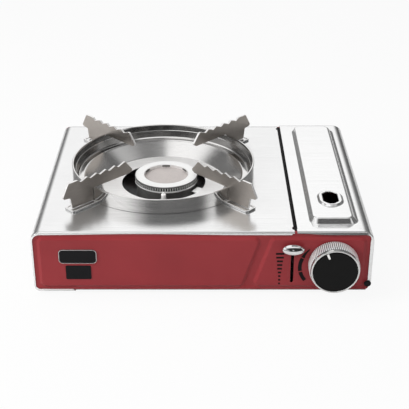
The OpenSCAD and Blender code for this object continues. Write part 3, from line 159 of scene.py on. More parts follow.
def makeWorld():
    # metal sees the cards in a dark room, other light comes evenly, and the camera sees the backdrop
    world = bpy.data.worlds.new("studio")
    world.use_nodes = True
    tree = world.node_tree
    tree.nodes.clear()
    ray = addNode(tree, "ShaderNodeLightPath").outputs
    coords = addNode(tree, "ShaderNodeTexCoord")
    way = addNode(tree, "ShaderNodeSeparateXYZ", {0: coords.outputs["Generated"]}).outputs

    def ramp(axis, low, high, atLow, atHigh):
        return spread(tree, way[axis], atLow, atHigh, low, high, "SMOOTHSTEP")

    def light(strength):
        return addNode(tree, "ShaderNodeBackground", {"Color": (1, 1, 1, 1), "Strength": strength}).outputs[0]

    seen = 0.0
    for card in cards.values():
        level = 1.0
        for axis, ramps in card.items():
            for values in ramps:
                level = combine(tree, ramp(axis, *values), level, "MULTIPLY")
        seen = combine(tree, seen, level, "MAXIMUM")
    seen = combine(tree, seen, ramp("Z", *studio["horizon"]), "MULTIPLY")
    seen = combine(tree, seen, studio["darkSide"])
    gloss = addNode(tree, "ShaderNodeMixShader", {0: ray["Is Glossy Ray"], 1: light(studio["ambient"]),
                                                  2: light(seen)})
    straight = combine(tree, ray["Is Camera Ray"], ray["Is Transmission Ray"], "MAXIMUM")
    mix = addNode(tree, "ShaderNodeMixShader", {0: straight, 1: gloss.outputs[0],
                                                2: light(studio["backdrop"])})
    addNode(tree, "ShaderNodeOutputWorld", {"Surface": mix.outputs[0]})
    scene.world = world


def makeLamps():
    for lamp in lamps:
        data = bpy.data.lights.new(lamp["name"], "AREA")
        data.shape = "RECTANGLE"
        data.size, data.size_y = lamp["size"]
        data.energy = lamp["watts"]
        light = addObject(lamp["name"], data)
        light.location = lamp["place"]
        aim = Vector(studio["aim"]) - Vector(lamp["place"])
        light.rotation_euler = aim.to_track_quat("-Z", "Y").to_euler()
        light.visible_glossy = False  # metal sees the cards instead


def makeFloor():
    half = studio["floorSize"] / 2
    mesh = bpy.data.meshes.new("floor")
    corners = [(-half, -half, 0), (half, -half, 0), (half, half, 0), (-half, half, 0)]
    mesh.from_pydata(corners, [], [(0, 1, 2, 3)])
    floor = addObject("floor", mesh)
    material = bpy.data.materials.new("palePaper")
    material.use_nodes = True
    tree = material.node_tree
    surface = tree.nodes["Principled BSDF"]
    surface.inputs["Base Color"].default_value = (*studio["floor"], 1)
    surface.inputs["Roughness"].default_value = studio["floorRoughness"]
    surface.inputs["Specular IOR Level"].default_value = studio["floorSpecular"]
    ray = addNode(tree, "ShaderNodeLightPath")
    share = combine(tree, ray.outputs["Is Camera Ray"], studio["floorGlow"], "MULTIPLY")
    glow = addNode(tree, "ShaderNodeEmission")
    mix = addNode(tree, "ShaderNodeMixShader", {0: share, 1: surface.outputs[0], 2: glow.outputs[0]})
    tree.links.new(mix.outputs[0], tree.nodes["Material Output"].inputs["Surface"])
    mesh.materials.append(material)


makeCamera()
makeWorld()
makeLamps()
makeFloor()
scene.view_settings.view_transform = "Standard"
print("studio ready")

# finishes: each kind gives its colour, its roughness, and a height with its depth in millimetres

grainX, grainRound, grainDown = (80, 1, 1), (40, 40, 1), (1, 80, 1)


def noiseField(tree, size, detail, seed=0.0, stretch=(1, 1, 1)):
    # size is the width of a blotch in millimetres; stretch lengthens it along x, y or z
    coords = addNode(tree, "ShaderNodeTexCoord")
    placing = addNode(tree, "ShaderNodeMapping", {
        "Vector": coords.outputs["Object"], "Location": (seed, seed * 1.7, seed * 0.6),
        "Scale": [1 / (size * mm * s) for s in stretch]})
    noise = addNode(tree, "ShaderNodeTexNoise", {"Vector": placing.outputs["Vector"], "Scale": 1,
                                                 "Detail": detail})
    return noise.outputs["Fac"]


def tint(tree, share, colourA, colourB):
    a, b = [(*c, 1) if isinstance(c, tuple) else c for c in (colourA, colourB)]
    return addNode(tree, "ShaderNodeMix", {0: share, 6: a, 7: b}, data_type="RGBA").outputs[2]


def shaded(colour, factor):
    return tuple(c * factor for c in colour)


def sheetGrain(tree, size, along, sideAlong, detail, seed=0.0):
    # grain along the sheet, and along its side walls where they look left or right
    grain = noiseField(tree, size, detail, seed, along)
    if not sideAlong:
        return grain
    coords = addNode(tree, "ShaderNodeTexCoord")
    split = addNode(tree, "ShaderNodeSeparateXYZ", {0: coords.outputs["Normal"]})
    share = spread(tree, combine(tree, split.outputs["X"], 0, "ABSOLUTE"), 0, 1, 0.6, 0.9)
    side = noiseField(tree, size, detail, seed, sideAlong)
    return addNode(tree, "ShaderNodeMix", {0: share, 2: grain, 3: side}).outputs[0]


def brushed(tree, colour, roughness, along=grainX, sideAlong=None, grain=0.3, depth=0.001, streakTone=0.86):
    # stainless sheet: hair grain, longer streaks, soft handling marks
    hair = sheetGrain(tree, grain, along, sideAlong, 2)
    streak = sheetGrain(tree, grain * 5, along, sideAlong, 3, 4.2)
    cloud = noiseField(tree, 55, 2, 9.1)
    share = spread(tree, combine(tree, hair, streak, "MULTIPLY"), 0, 1, 0.12, 0.42)
    rough = combine(tree, spread(tree, streak, -0.02, 0.02), spread(tree, cloud, -0.01, 0.02))
    tone = tint(tree, share, shaded(colour, streakTone), colour)
    height = combine(tree, hair, combine(tree, streak, 1.5, "MULTIPLY"))
    return tone, combine(tree, rough, roughness), height, depth


def sprayed(tree, colour, roughness):
    # enamel: fine orange peel, slight change of tone, thin wear in the gloss
    peel, cloud = noiseField(tree, 1.1, 2), noiseField(tree, 70, 2, 3.3)
    speck = noiseField(tree, 0.35, 2, 6.4)
    base = tint(tree, spread(tree, cloud, 0, 1), shaded(colour, 0.88), shaded(colour, 1.06))
    tone = tint(tree, spread(tree, speck, 0, 0.25, 0.5, 0.75), base, shaded(colour, 0.8))
    return tone, spread(tree, cloud, roughness - 0.04, roughness + 0.06), peel, 0.006


def cast(tree, colour, roughness, pit=0.6, depth=0.01, shade=0.7):
    # castings and moulded parts: pitted skin with worn high spots
    pits, cloud = noiseField(tree, pit, 4), noiseField(tree, 18, 3, 5.0)
    share = spread(tree, combine(tree, pits, cloud, "MULTIPLY"), 0, 1, 0.14, 0.36)
    tone = tint(tree, share, shaded(colour, shade), colour)
    return tone, spread(tree, cloud, roughness - 0.07, roughness + 0.08), pits, depth


def zinc(tree, colour, roughness, crystal=7):
    # galvanised sheet: crystals of slightly different tone
    coords = addNode(tree, "ShaderNodeTexCoord")
    cells = addNode(tree, "ShaderNodeTexVoronoi", {"Vector": coords.outputs["Object"],
                                                   "Scale": 1 / (crystal * mm)})
    split = addNode(tree, "ShaderNodeSeparateColor", {0: cells.outputs["Color"]}).outputs
    rough = combine(tree, spread(tree, split[1], -0.06, 0.08, 0, 1), roughness)
    return tint(tree, split[0], shaded(colour, 0.78), colour), rough, noiseField(tree, 1.2, 3), 0.01


def turned(tree, colour, roughness, shade=0.88, depth=0.002):
    # turned or polished metal: faint changes of tone and small scuffs
    scuff, fine = noiseField(tree, 2.5, 4), noiseField(tree, 0.4, 2, 7.7)
    tone = tint(tree, spread(tree, scuff, 0, 1), shaded(colour, shade), colour)
    return tone, spread(tree, scuff, max(0.02, roughness - 0.03), roughness + 0.05), fine, depth


# kind, colour or grey, metallic, roughness, and what differs from the kind's own values
finishes = {
    "cover_steel": (brushed, 0.98, 0.93, 0.235, {"sideAlong": grainDown, "depth": 0.0012, "streakTone": 0.9}),
    "lid_steel": (brushed, 0.97, 0.93, 0.15, {"sideAlong": grainDown, "streakTone": 0.91}),
    "ring_steel": (brushed, (0.87, 0.86, 0.85), 1, 0.1, {"along": grainRound, "depth": 0.0008}),
    "dish_steel": (brushed, (0.93, 0.92, 0.91), 1, 0.19, {"streakTone": 0.9}),
    "support_steel": (brushed, (0.5, 0.46, 0.425), 1, 0.33,
                      {"along": (6, 6, 1), "grain": 0.25, "depth": 0.0004}),
    "pad_steel": (brushed, 0.94, 1, 0.17, {}),
    "red_paint": (sprayed, (0.27, 0.031, 0.036), 0, 0.34, {"specular": 0.22}),
    "zinc_sheet": (zinc, (0.6, 0.61, 0.62), 1, 0.42, {}),
    "plated_screw": (turned, (0.66, 0.66, 0.64), 1, 0.34, {}),
    "foot_rubber": (cast, (0.025, 0.025, 0.027), 0, 0.75, {"pit": 0.8, "depth": 0.03}),
    "badge_silver": (turned, (0.5, 0.49, 0.48), 1, 0.2, {}),
    "badge_black": (cast, (0.008, 0.008, 0.009), 0, 0.4,
                    {"pit": 0.5, "depth": 0.003, "shade": 0.85, "specular": 0.12}),
    "die_cast": (cast, (0.48, 0.49, 0.5), 1, 0.45, {"pit": 0.9, "depth": 0.03}),
    "brass": (turned, (0.66, 0.46, 0.17), 1, 0.34, {}),
    "copper": (turned, (0.7, 0.33, 0.19), 1, 0.35, {"shade": 0.75}),
    "burner_casting": (cast, (0.3, 0.29, 0.285), 0.7, 0.45, {"pit": 1.2, "depth": 0.05}),
    "burner_cap": (turned, (0.99, 0.99, 0.98), 0.8, 0.31, {"shade": 0.95}),
    "burner_disc": (cast, (0.6, 0.55, 0.53), 0.4, 0.45, {"pit": 0.7, "depth": 0.04, "shade": 0.8}),
    "white_ceramic": (cast, (0.92, 0.91, 0.89), 0, 0.3, {"pit": 0.7, "depth": 0.005, "shade": 0.94}),
    "lead_black": (cast, 0.02, 0, 0.5, {"pit": 0.8}),
    "clip_nylon": (cast, (0.74, 0.73, 0.68), 0, 0.5, {"shade": 0.92}),
    "igniter_black": (cast, (0.022, 0.022, 0.024), 0, 0.45, {}),
    "pin_black": (cast, (0.006, 0.006, 0.007), 0, 0.38, {"depth": 0.004, "specular": 0.2}),
    "knob_chrome": (turned, (0.82, 0.82, 0.81), 1, 0.14, {"shade": 0.94, "depth": 0.0008}),
    "knob_black": (cast, 0.006, 0, 0.42, {"pit": 0.35, "depth": 0.003, "shade": 0.9, "specular": 0.12}),
    "pointer_white": (cast, (0.82, 0.82, 0.8), 0, 0.4, {"pit": 0.5, "depth": 0.003, "shade": 0.95}),
    "shaft_steel": (turned, (0.5, 0.5, 0.51), 1, 0.2, {}),
    "lever_chrome": (turned, 0.86, 1, 0.07, {"shade": 0.96, "depth": 0.0005}),
    # worn by parts of a piece only
    "ink_black": (cast, (0.008, 0.006, 0.007), 0, 0.5, {"pit": 0.5, "depth": 0.002, "specular": 0.12}),
    # painted highlight: a brighter, partly diffuse steel for the blades' edges and the pads' raised border
    "edge_highlight": (brushed, (0.97, 0.96, 0.95), 0.6, 0.34, {"along": (4, 4, 1), "grain": 0.4, "depth": 0.0005}),
    "knurl_silver": (turned, (0.95, 0.98, 0.98), 0.55, 0.33, {"shade": 0.92, "depth": 0.001}),
    # painted shade: the knob skirt between its ridges
    "groove_shade": (turned, (0.05, 0.052, 0.055), 0.5, 0.45, {"shade": 0.8, "depth": 0.001}),
    # painted shade and reflection: a darker copy of the ring's steel for its inner wall
    "inner_wall_shade": (brushed, (0.36, 0.355, 0.35), 1, 0.16, {"along": grainRound, "depth": 0.0008}),
    # painted light: a lighter, partly diffuse copy of the dish's steel for its flat floor
    "dish_floor_light": (brushed, (0.98, 0.97, 0.96), 0.6, 0.32, {"depth": 0.0008, "streakTone": 0.92}),
    # painted shade: a dark copy of the cap's metal for the cap plate's outer side
    "cap_side_shade": (turned, 0.2, 0.8, 0.35, {"shade": 0.85}),
    # painted shade: a darker copy of the cap's metal for the ribs between the ports
    "rib_shade": (turned, (0.62, 0.62, 0.61), 0.35, 0.4, {}),
    # painted highlight: a bright copy of the casting for the lip under the ports
    "lip_highlight": (turned, (0.96, 0.96, 0.95), 0.4, 0.34, {"shade": 0.94}),
    # painted light: a bright, mostly diffuse finish for the bracket and the electrode pin
    "bracket_highlight": (turned, (0.95, 0.95, 0.94), 0.2, 0.36, {"shade": 0.95}),
    # painted shade: dark grey for the notches round the burner's recess
    "notch_shade": (cast, (0.12, 0.115, 0.11), 0, 0.7, {}),
    # black rubber for the lid's buffers, and painted shade for the strips in the gap between cover and lid
    "rubber_and_gap_shade": (cast, 0.006, 0, 0.6, {"pit": 0.7, "depth": 0.005, "specular": 0.15}),
    # painted shade: black for the wall behind the flame ports
    "port_shade": (cast, (0.012, 0.011, 0.01), 0, 0.8, {"depth": 0.02}),
}


def makeFinish(name, kind, colour, metallic, roughness, more):
    colour = colour if isinstance(colour, tuple) else (colour,) * 3
    material = bpy.data.materials.new(name)
    material.use_nodes = True
    material.diffuse_color = (*colour, 1)
    tree = material.node_tree
    surface = tree.nodes["Principled BSDF"]
    surface.inputs["Metallic"].default_value = metallic
    surface.inputs["Specular IOR Level"].default_value = more.get("specular", 0.5)
    own = {key: value for key, value in more.items() if key != "specular"}
    tone, rough, height, depth = kind(tree, colour, roughness, **own)
    relief = addNode(tree, "ShaderNodeBump", {"Strength": 1, "Distance": depth * mm, "Height": height})
    for socket, value in (("Base Color", tone), ("Roughness", rough), ("Normal", relief.outputs["Normal"])):
        tree.links.new(value, surface.inputs[socket])
    return material


materials = {name: makeFinish(name, *spec) for name, spec in finishes.items()}
# the buffers wear black rubber; the bracket and the electrode pin wear a painted highlight in the burner's
# shade
wears = {"lid_buttons": "rubber_and_gap_shade", "burner_bracket": "bracket_highlight", "electrode_pin": "bracket_highlight"}
for name, obj in nodes.items():
    obj.data.materials.clear()
    obj.data.materials.append(materials[wears.get(name, slotOf[name])])
print("finishes on", len(nodes), "frame nodes")

# drawing helpers


def arcPoints(cx, cy, radius, start, end, count):
    steps = [math.radians(start + (end - start) * i / count) for i in range(count + 1)]
    return [(cx + radius * math.cos(a), cy + radius * math.sin(a)) for a in steps]


def filletPath(corners, steps, closed=False):
    # corners are (x, y, radius), and each is rounded by its own radius
    points = [Vector(corner[:2]) for corner in corners]
    count = len(points)
    path = []
    for i, corner in enumerate(points):
        radius = corners[i][2]
        a, b = points[i - 1] - corner, points[(i + 1) % count] - corner
        bend = a.angle(b) if radius > 0 and (closed or 0 < i < count - 1) else math.pi
        if bend > math.pi - 0.02:  # no corner to round
            path.append(tuple(corner))
            continue
        a, b, room = a.normalized(), b.normalized(), 0.48 * min(a.length, b.length)
        reach = min(radius / math.tan(bend / 2), room)
        first, last = corner + a * reach, corner + b * reach
        middle = corner + (a + b).normalized() * (reach * math.tan(bend / 2) / math.sin(bend / 2))
        u, v = (first - middle), (last - middle)
        sweep = u.angle(v)
        for k in range(steps + 1):
            t = k / steps
            w = (u * math.sin((1 - t) * sweep) + v * math.sin(t * sweep)) / math.sin(sweep)
            path.append(tuple(middle + w))
    return path


def insetPolygon(points, width):
    # moves every side of a counter-clockwise convex outline inwards
    lines = []
    for i, point in enumerate(points):
        a, b = Vector(point), Vector(points[(i + 1) % len(points)])
        along = (b - a).normalized()
        lines.append((a + Vector((-along.y, along.x)) * width, along))
    result = []
    for i, (q, e) in enumerate(lines):
        p, d = lines[i - 1]
        t = ((q - p).x * e.y - (q - p).y * e.x) / (d.x * e.y - d.y * e.x)
        result.append(tuple(p + d * t))
    return result


def evenCorners(points, radius):
    return [(x, y, radius) for x, y in points]


def softOutline(points, width, radius, steps=7):
    # an inset outline, whose corners never get sharper than 0.6 mm
    return filletPath(evenCorners(insetPolygon(points, width), max(radius - width, 0.6)), steps, True)


def rectangle(x0, x1, y0, y1):
    return [(x0, y0), (x1, y0), (x1, y1), (x0, y1)]


def contains(outline, x, y):
    inside = False
    for i, (xi, yi) in enumerate(outline):
        xj, yj = outline[i - 1]
        if (yi > y) != (yj > y) and x < (xj - xi) * (y - yi) / (yj - yi) + xi:
            inside = not inside
    return inside


def patch(outer, holes=(), rings=()):
    # a sheet seen square on; rings are (outline, height) and holes are (outline, height)
    points, heights, edges = [], [], []
    for outline, height in [(outer, 0.0)] + list(holes) + list(rings):
        start = len(points)
        points += [Vector(p) for p in outline]
        heights += [height] * len(outline)
        edges += [(start + i, start + (i + 1) % len(outline)) for i in range(len(outline))]
    coords, _, faces, origins, _, _ = delaunay_2d_cdt(points, edges, [], 0, 1e-5)
    lifted = [heights[o[0]] if o else 0.0 for o in origins]
    kept = []
    for face in faces:
        x = sum(coords[i].x for i in face) / len(face)
        y = sum(coords[i].y for i in face) / len(face)
        if contains(outer, x, y) and not any(contains(hole, x, y) for hole, _ in holes):
            kept.append(tuple(face))
    return [(c.x, c.y, h) for c, h in zip(coords, lifted)], kept


def wallPath(c, rise):
    # the section of a pressed wall: flat, soft foot, slope, soft crown
    run, lead = c["wall"], c["lead"]
    corners = [(-lead, 0, 0), (0, 0, c["foot"]), (run, rise, c["crown"]), (run + lead, rise, 0)]
    return filletPath(corners, 4)[1:-1]


def revolve(path, segments=128, closed=False):
    # path of (radius, height) turned about the local z axis
    turns = [2 * math.pi * i / segments for i in range(segments)]
    verts = [(r * math.cos(a), r * math.sin(a), h) for a in turns for r, h in path]
    count = len(path)
    faces = []
    for i in range(segments):
        j = (i + 1) % segments
        for k in range(count if closed else count - 1):
            m = (k + 1) % count
            faces.append((i * count + k, j * count + k, j * count + m, i * count + m))
    return verts, faces


def stack(loops, caps=True):
    # closed loops of equal length joined one after the other
    count = len(loops[0])
    verts = [p for loop in loops for p in loop]
    faces = []
    for i in range(len(loops) - 1):
        for k in range(count):
            m = (k + 1) % count
            faces.append((i * count + k, i * count + m, (i + 1) * count + m, (i + 1) * count + k))
    if caps:
        faces += [tuple(range(count)), tuple(range(len(verts) - count, len(verts)))]
    return verts, faces


def alongY(outline, places):
    return [[(x, y, z) for x, z in outline] for y in places]


def alongZ(outline, places):
    return [[(x, y, z) for x, y in outline] for z in places]


def placeAt(x, y, z, turn=0, axis="Z"):
    # millimetres and degrees
    return Matrix.Translation(Vector((x, y, z)) * mm) @ Matrix.Rotation(math.radians(turn), 4, axis)


def join(parts):
    verts, faces = [], []
    for v, f in parts:
        start = len(verts)
        verts += v
        faces += [tuple(i + start for i in face) for face in f]
    return verts, faces


# making and dressing pieces

shading = {"bevelSteps": 2, "bevelAngle": 40, "sharp": 38, "weld": 0.002}


def newPiece(name, drawing, finish, place=None):
    # drawing is (verts in millimetres, faces); place turns and moves it into the frame
    mesh = bpy.data.meshes.new(name)
    mesh.from_pydata([Vector(v) * mm for v in drawing[0]], [], drawing[1])
    mesh.materials.append(materials[finish])
    bm = bmesh.new()
    bm.from_mesh(mesh)
    bmesh.ops.remove_doubles(bm, verts=bm.verts, dist=shading["weld"] * mm)
    bmesh.ops.delete(bm, geom=[v for v in bm.verts if not v.link_faces], context="VERTS")
    bmesh.ops.recalc_face_normals(bm, faces=bm.faces)
    bm.to_mesh(mesh)
    bm.free()
    if place is not None:
        mesh.transform(place)
    return addObject(name, mesh)


def faceOut(obj, place, direction):
    # turns an open sheet over where its face nearest to place looks the wrong way
    nearest = min(obj.data.polygons, key=lambda p: (p.center - Vector(place) * mm).length)
    if nearest.normal.dot(Vector(direction)) < 0:
        obj.data.flip_normals()


def wearToo(obj, finish, test):
    # a second finish on the faces that pass the test, which gets a face and its middle in millimetres
    obj.data.materials.append(materials[finish])
    for face in obj.data.polygons:
        face.material_index = 1 if test(face, face.center / mm) else 0


def settle(obj):
    # the evaluated result becomes the object's own plain mesh
    graph = bpy.context.evaluated_depsgraph_get()
    graph.update()
    mesh = bpy.data.meshes.new_from_object(obj.evaluated_get(graph), preserve_all_data_layers=True,
                                           depsgraph=graph)
    old = obj.data
    obj.modifiers.clear()
    obj.data = mesh
    mesh.name = obj.name
    bpy.data.meshes.remove(old)


def seat(obj, body, slot, *replaced, wall=0, bevel=0, even=True):
    # wall thickness inwards, a fine edge radius and soft shading; then the piece takes its place
    if wall:
        shell = obj.modifiers.new("wall", "SOLIDIFY")
        shell.thickness, shell.offset, shell.use_even_offset = wall * mm, -1, even
    if bevel:
        edge = obj.modifiers.new("edge", "BEVEL")
        edge.width, edge.segments = bevel * mm, shading["bevelSteps"]
        edge.limit_method, edge.angle_limit = "ANGLE", math.radians(shading["bevelAngle"])
    settle(obj)
    bm = bmesh.new()
    bm.from_mesh(obj.data)
    for edge in bm.edges:
        edge.smooth = len(edge.link_faces) == 2 and edge.calc_face_angle(0) < math.radians(shading["sharp"])
    for face in bm.faces:
        face.smooth = True
    bm.to_mesh(obj.data)
    bm.free()
    obj.modifiers.new("shade", "WEIGHTED_NORMAL").keep_sharp = True
    settle(obj)
    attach(obj, body)
    if replaced:
        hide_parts(*replaced)


# geometry node trees


def startTree(name, numbers):
    tree = bpy.data.node_groups.new(name, "GeometryNodeTree")
    tree.interface.new_socket("Geometry", in_out="INPUT", socket_type="NodeSocketGeometry")
    for label, kind, value in numbers:
        socket = tree.interface.new_socket(label, in_out="INPUT", socket_type=kind)
        if value is not None:
            socket.default_value = value
    tree.interface.new_socket("Geometry", in_out="OUTPUT", socket_type="NodeSocketGeometry")
    return tree, tree.nodes.new("NodeGroupInput").outputs


def endTree(tree, given, copies):
    real = addNode(tree, "GeometryNodeRealizeInstances", {0: copies.outputs[0]})
    finish = addNode(tree, "GeometryNodeSetMaterial", {"Geometry": real.outputs[0],
                                                       "Material": given["Finish"]})
    addNode(tree, "NodeGroupOutput", {0: finish.outputs[0]})
    return tree


def ringTree():
    # repeats the object's own mesh round its z axis
    tree, given = startTree("repeatRound", [
        ("Count", "NodeSocketInt", 12), ("Turn", "NodeSocketFloat", 0.0),
        ("Finish", "NodeSocketMaterial", None)])
    line = addNode(tree, "GeometryNodeMeshLine", {"Count": given["Count"], "Offset": (0, 0, 0)},
                   mode="OFFSET")
    index = addNode(tree, "GeometryNodeInputIndex")
    share = combine(tree, index.outputs[0], given["Count"], "DIVIDE")
    angle = addNode(tree, "ShaderNodeMath", {0: share, 1: 2 * math.pi, 2: given["Turn"]},
                    operation="MULTIPLY_ADD")
    spin = addNode(tree, "ShaderNodeCombineXYZ", {"Z": angle.outputs[0]})
    copies = addNode(tree, "GeometryNodeInstanceOnPoints", {
        "Points": line.outputs[0], "Instance": given["Geometry"], "Rotation": spin.outputs[0]})
    return endTree(tree, given, copies)


def barTree():
    # a thin bar at each point of the object's mesh, as wide as the point's own barWidth
    tree, given = startTree("printedBars", [
        ("Height", "NodeSocketFloat", 0.002), ("Film", "NodeSocketFloat", 0.0001),
        ("Finish", "NodeSocketMaterial", None)])
    width = addNode(tree, "GeometryNodeInputNamedAttribute", {"Name": "barWidth"}, data_type="FLOAT")
    bar = addNode(tree, "GeometryNodeMeshCube", {"Size": (1, 1, 1)})
    size = addNode(tree, "ShaderNodeCombineXYZ", {"X": width.outputs["Attribute"], "Y": given["Film"],
                                                  "Z": given["Height"]})
    copies = addNode(tree, "GeometryNodeInstanceOnPoints", {
        "Points": given["Geometry"], "Instance": bar.outputs["Mesh"], "Scale": size.outputs[0]})
    return endTree(tree, given, copies)


repeatRound = ringTree()
printedBars = barTree()


def grow(obj, tree, values):
    modifier = obj.modifiers.new("grow", "NODES")
    modifier.node_group = tree
    for item in tree.interface.items_tree:
        if item.item_type == "SOCKET" and item.in_out == "INPUT" and item.name in values:
            modifier[item.identifier] = values[item.name]
    settle(obj)


def growRound(obj, count, turn, place):
    # copies in the object's own finish, turned on by some degrees
    grow(obj, repeatRound, {"Count": count, "Turn": math.radians(turn), "Finish": obj.data.materials[0]})
    obj.data.transform(place)


# sheet metal: cover, lid, front panel

bendSteps = 5


def sectionRow(station, front, back, c, flats):
    # one line across the sheet: front flange, bend, flat top, bend, rear flange
    x, z, nx, nz, depth = station
    up, bend = max(nz, 0), c["bend"]
    half = [(front - c["lean"] * up * (depth - bend), max(depth, bend))]
    reach = bend + (c["bendRun"] - bend) * up ** 2
    for k in range(bendSteps + 1):
        a = math.radians(90 * k / bendSteps)
        half.append((front + reach * (1 - math.cos(a)), bend * (1 - math.sin(a))))
    row = half + [(y, 0) for y in flats] + [(front + back - y, d) for y, d in reversed(half)]
    return [(x - nx * d, y, z - nz * d) for y, d in row]


def sweepSheet(stations, front, back, c, flats, openTo, dropped=None):
    # the flat of the stations up to openTo is left to a patch
    rows = [sectionRow(s, front, back, c, flats) for s in stations]
    count = len(rows[0])
    faces = []
    for i in range(len(rows) - 1):
        for k in range(count - 1):
            if bendSteps < k < count - bendSteps - 2 and i < openTo:
                continue
            if dropped and dropped(i, k, count):
                continue
            a = i * count + k
            faces.append((a, a + 1, a + count + 1, a + count))
    return [p for row in rows for p in row], faces


def bendStations(cx, cz, radius, start, end, steps, depth):
    # stations round a bend; depth gives the flange's depth at each share of the way
    result = []
    for i in range(steps + 1):
        a = math.radians(start + (end - start) * i / steps)
        result.append((cx + radius * math.cos(a), cz + radius * math.sin(a), math.cos(a), math.sin(a),
                       depth(i / steps)))
    return result


def lipSheet(x, ends, z, depth):
    y0, y1 = ends
    return [(x, y0, z), (x, y1, z), (x, y1, z - depth), (x, y0, z - depth)], [(0, 1, 2, 3)]


cover = {"roll": 9.8, "lowBend": 5.5, "return": 42, "flangeTop": 2.6, "flangeSide": 1.9, "flangeLow": 2.7,
         "bend": 1.2, "lean": 0.14, "bendRun": 4.2, "arch": 1.1, "archWidth": 220, "archSteps": 22,
         "cornerFill": 0.8, "cornerEnds": (1.5, 2.7), "returnEnds": (2.2, 1.4), "lip": 8, "lipInset": 13,
         "holeRadius": 89, "notchRadius": 4.6, "notchIn": 8.5}


def makeCover():
    c = cover
    rollX, lowX, returnX = leftX + c["roll"], leftX + c["lowBend"], leftX + c["return"]
    endX = [coverRight - inset for inset in c["cornerEnds"]]
    across = [endX[1] + (rollX - endX[1]) * i / c["archSteps"] for i in range(c["archSteps"] + 1)]
    stations = [(x, topZ, 0, 1, c["bend"]) for x in (coverRight, endX[0])]
    for x in across:  # the front flange is a little shallower towards its middle
        along = min((x - leftX) / c["archWidth"], 1)
        stations.append((x, topZ, 0, 1, c["flangeTop"] - c["arch"] * math.sin(math.pi * along) ** 2))

    def sideDepth(t):
        return c["flangeTop"] + (c["flangeSide"] - c["flangeTop"]) * t

    def lowDepth(t):
        depth = c["flangeSide"] + (c["flangeLow"] - c["flangeSide"]) * t
        return depth + c["cornerFill"] * math.sin(math.pi * t)

    stations += bendStations(rollX, topZ - c["roll"], c["roll"], 90, 180, 12, sideDepth)[1:]
    stations += bendStations(lowX, baseZ + c["lowBend"], c["lowBend"], 180, 270, 8, lowDepth)
    stations += [(returnX - c["returnEnds"][0], baseZ, 0, -1, c["flangeLow"])]
    stations += [(x, baseZ, 0, -1, c["bend"]) for x in (returnX - c["returnEnds"][1], returnX)]
    front, back = frontY - sheet, backY + sheet
    strips = sweepSheet(stations, front, back, c, [], len(across) + 1)
    # top plate with the pan's hole, and two notches in its right edge for the buffers
    y0, y1 = front + c["bendRun"], back - c["bendRun"]
    dip = math.degrees(math.acos((lidLeft - coverRight) / c["notchRadius"]))
    lipY = [frontY + c["lipInset"], backY - c["lipInset"]]
    right = [(coverRight, y) for y in lipY]
    for centre in (frontY + c["notchIn"], backY - c["notchIn"]):
        right += arcPoints(lidLeft, centre, c["notchRadius"], 180 + dip, 180 - dip, 10)
    outline = [(x, y0) for x in reversed(across)] + [(endX[0], y0), (coverRight, y0)]
    outline += sorted(right, key=lambda p: p[1])
    outline += [(coverRight, y1), (endX[0], y1)] + [(x, y1) for x in across]
    hole = arcPoints(ringX, ringY, c["holeRadius"], 0, 360, 160)[:-1]
    verts, faces = patch(outline, [(hole, 0)])
    top = ([(x, y, topZ) for x, y, _ in verts], faces)
    lip = lipSheet(coverRight, lipY, topZ, c["lip"])
    obj = newPiece("coverShell", join([strips, top, lip]), "cover_steel")
    faceOut(obj, (leftX + 30, 0, topZ), (0, 0, 1))
    seat(obj, "stove_body", "cover_steel", "top_cover", wall=sheet)


lid = {"roll": 11.3, "flangeTop": 3.1, "flangeSide": 3.6, "bend": 1.0, "lean": 0.33, "lip": 5.8,
       "lipInset": 14, "bendRun": 2.7, "flangeStart": 1.7, "startWidth": 36, "startSteps": 9, "gap": 0.4,
       "notchHeight": 2.2, "notchDepth": 1.8, "cornerFill": -1.5,
       "panel": {"fromRight": 14.5, "width": 48.3, "front": 14.2, "rear": 12.5, "rise": 6, "corner": 9.5,
                 "rightWall": 1.8, "wall": 3, "foot": 1.2, "crown": 1.5, "lead": 4},
       "boss": {"x": 132.8, "y": 59.4, "width": 26.5, "length": 36, "rise": 2,
                "wall": 2, "foot": 0.9, "crown": 1.0, "lead": 2},
       # the window's rim turns in and down: inset, drop and corner radius
       "window": {"width": 15.6, "length": 27, "cut": 5.2,
                  "rim": ((-0.9, 0, 3.4), (-0.4, 0.12, 3.1), (0, 0.55, 2.8))},
       "ear": {"radius": 3.4, "bore": 1.56, "overlap": 0.02, "bevel": 0.12}}


def stadium(cx, cy, width, length, steps=14):
    r, half = width / 2, (length - width) / 2
    return arcPoints(cx, cy + half, r, 0, 180, steps) + arcPoints(cx, cy - half, r, 180, 360, steps)


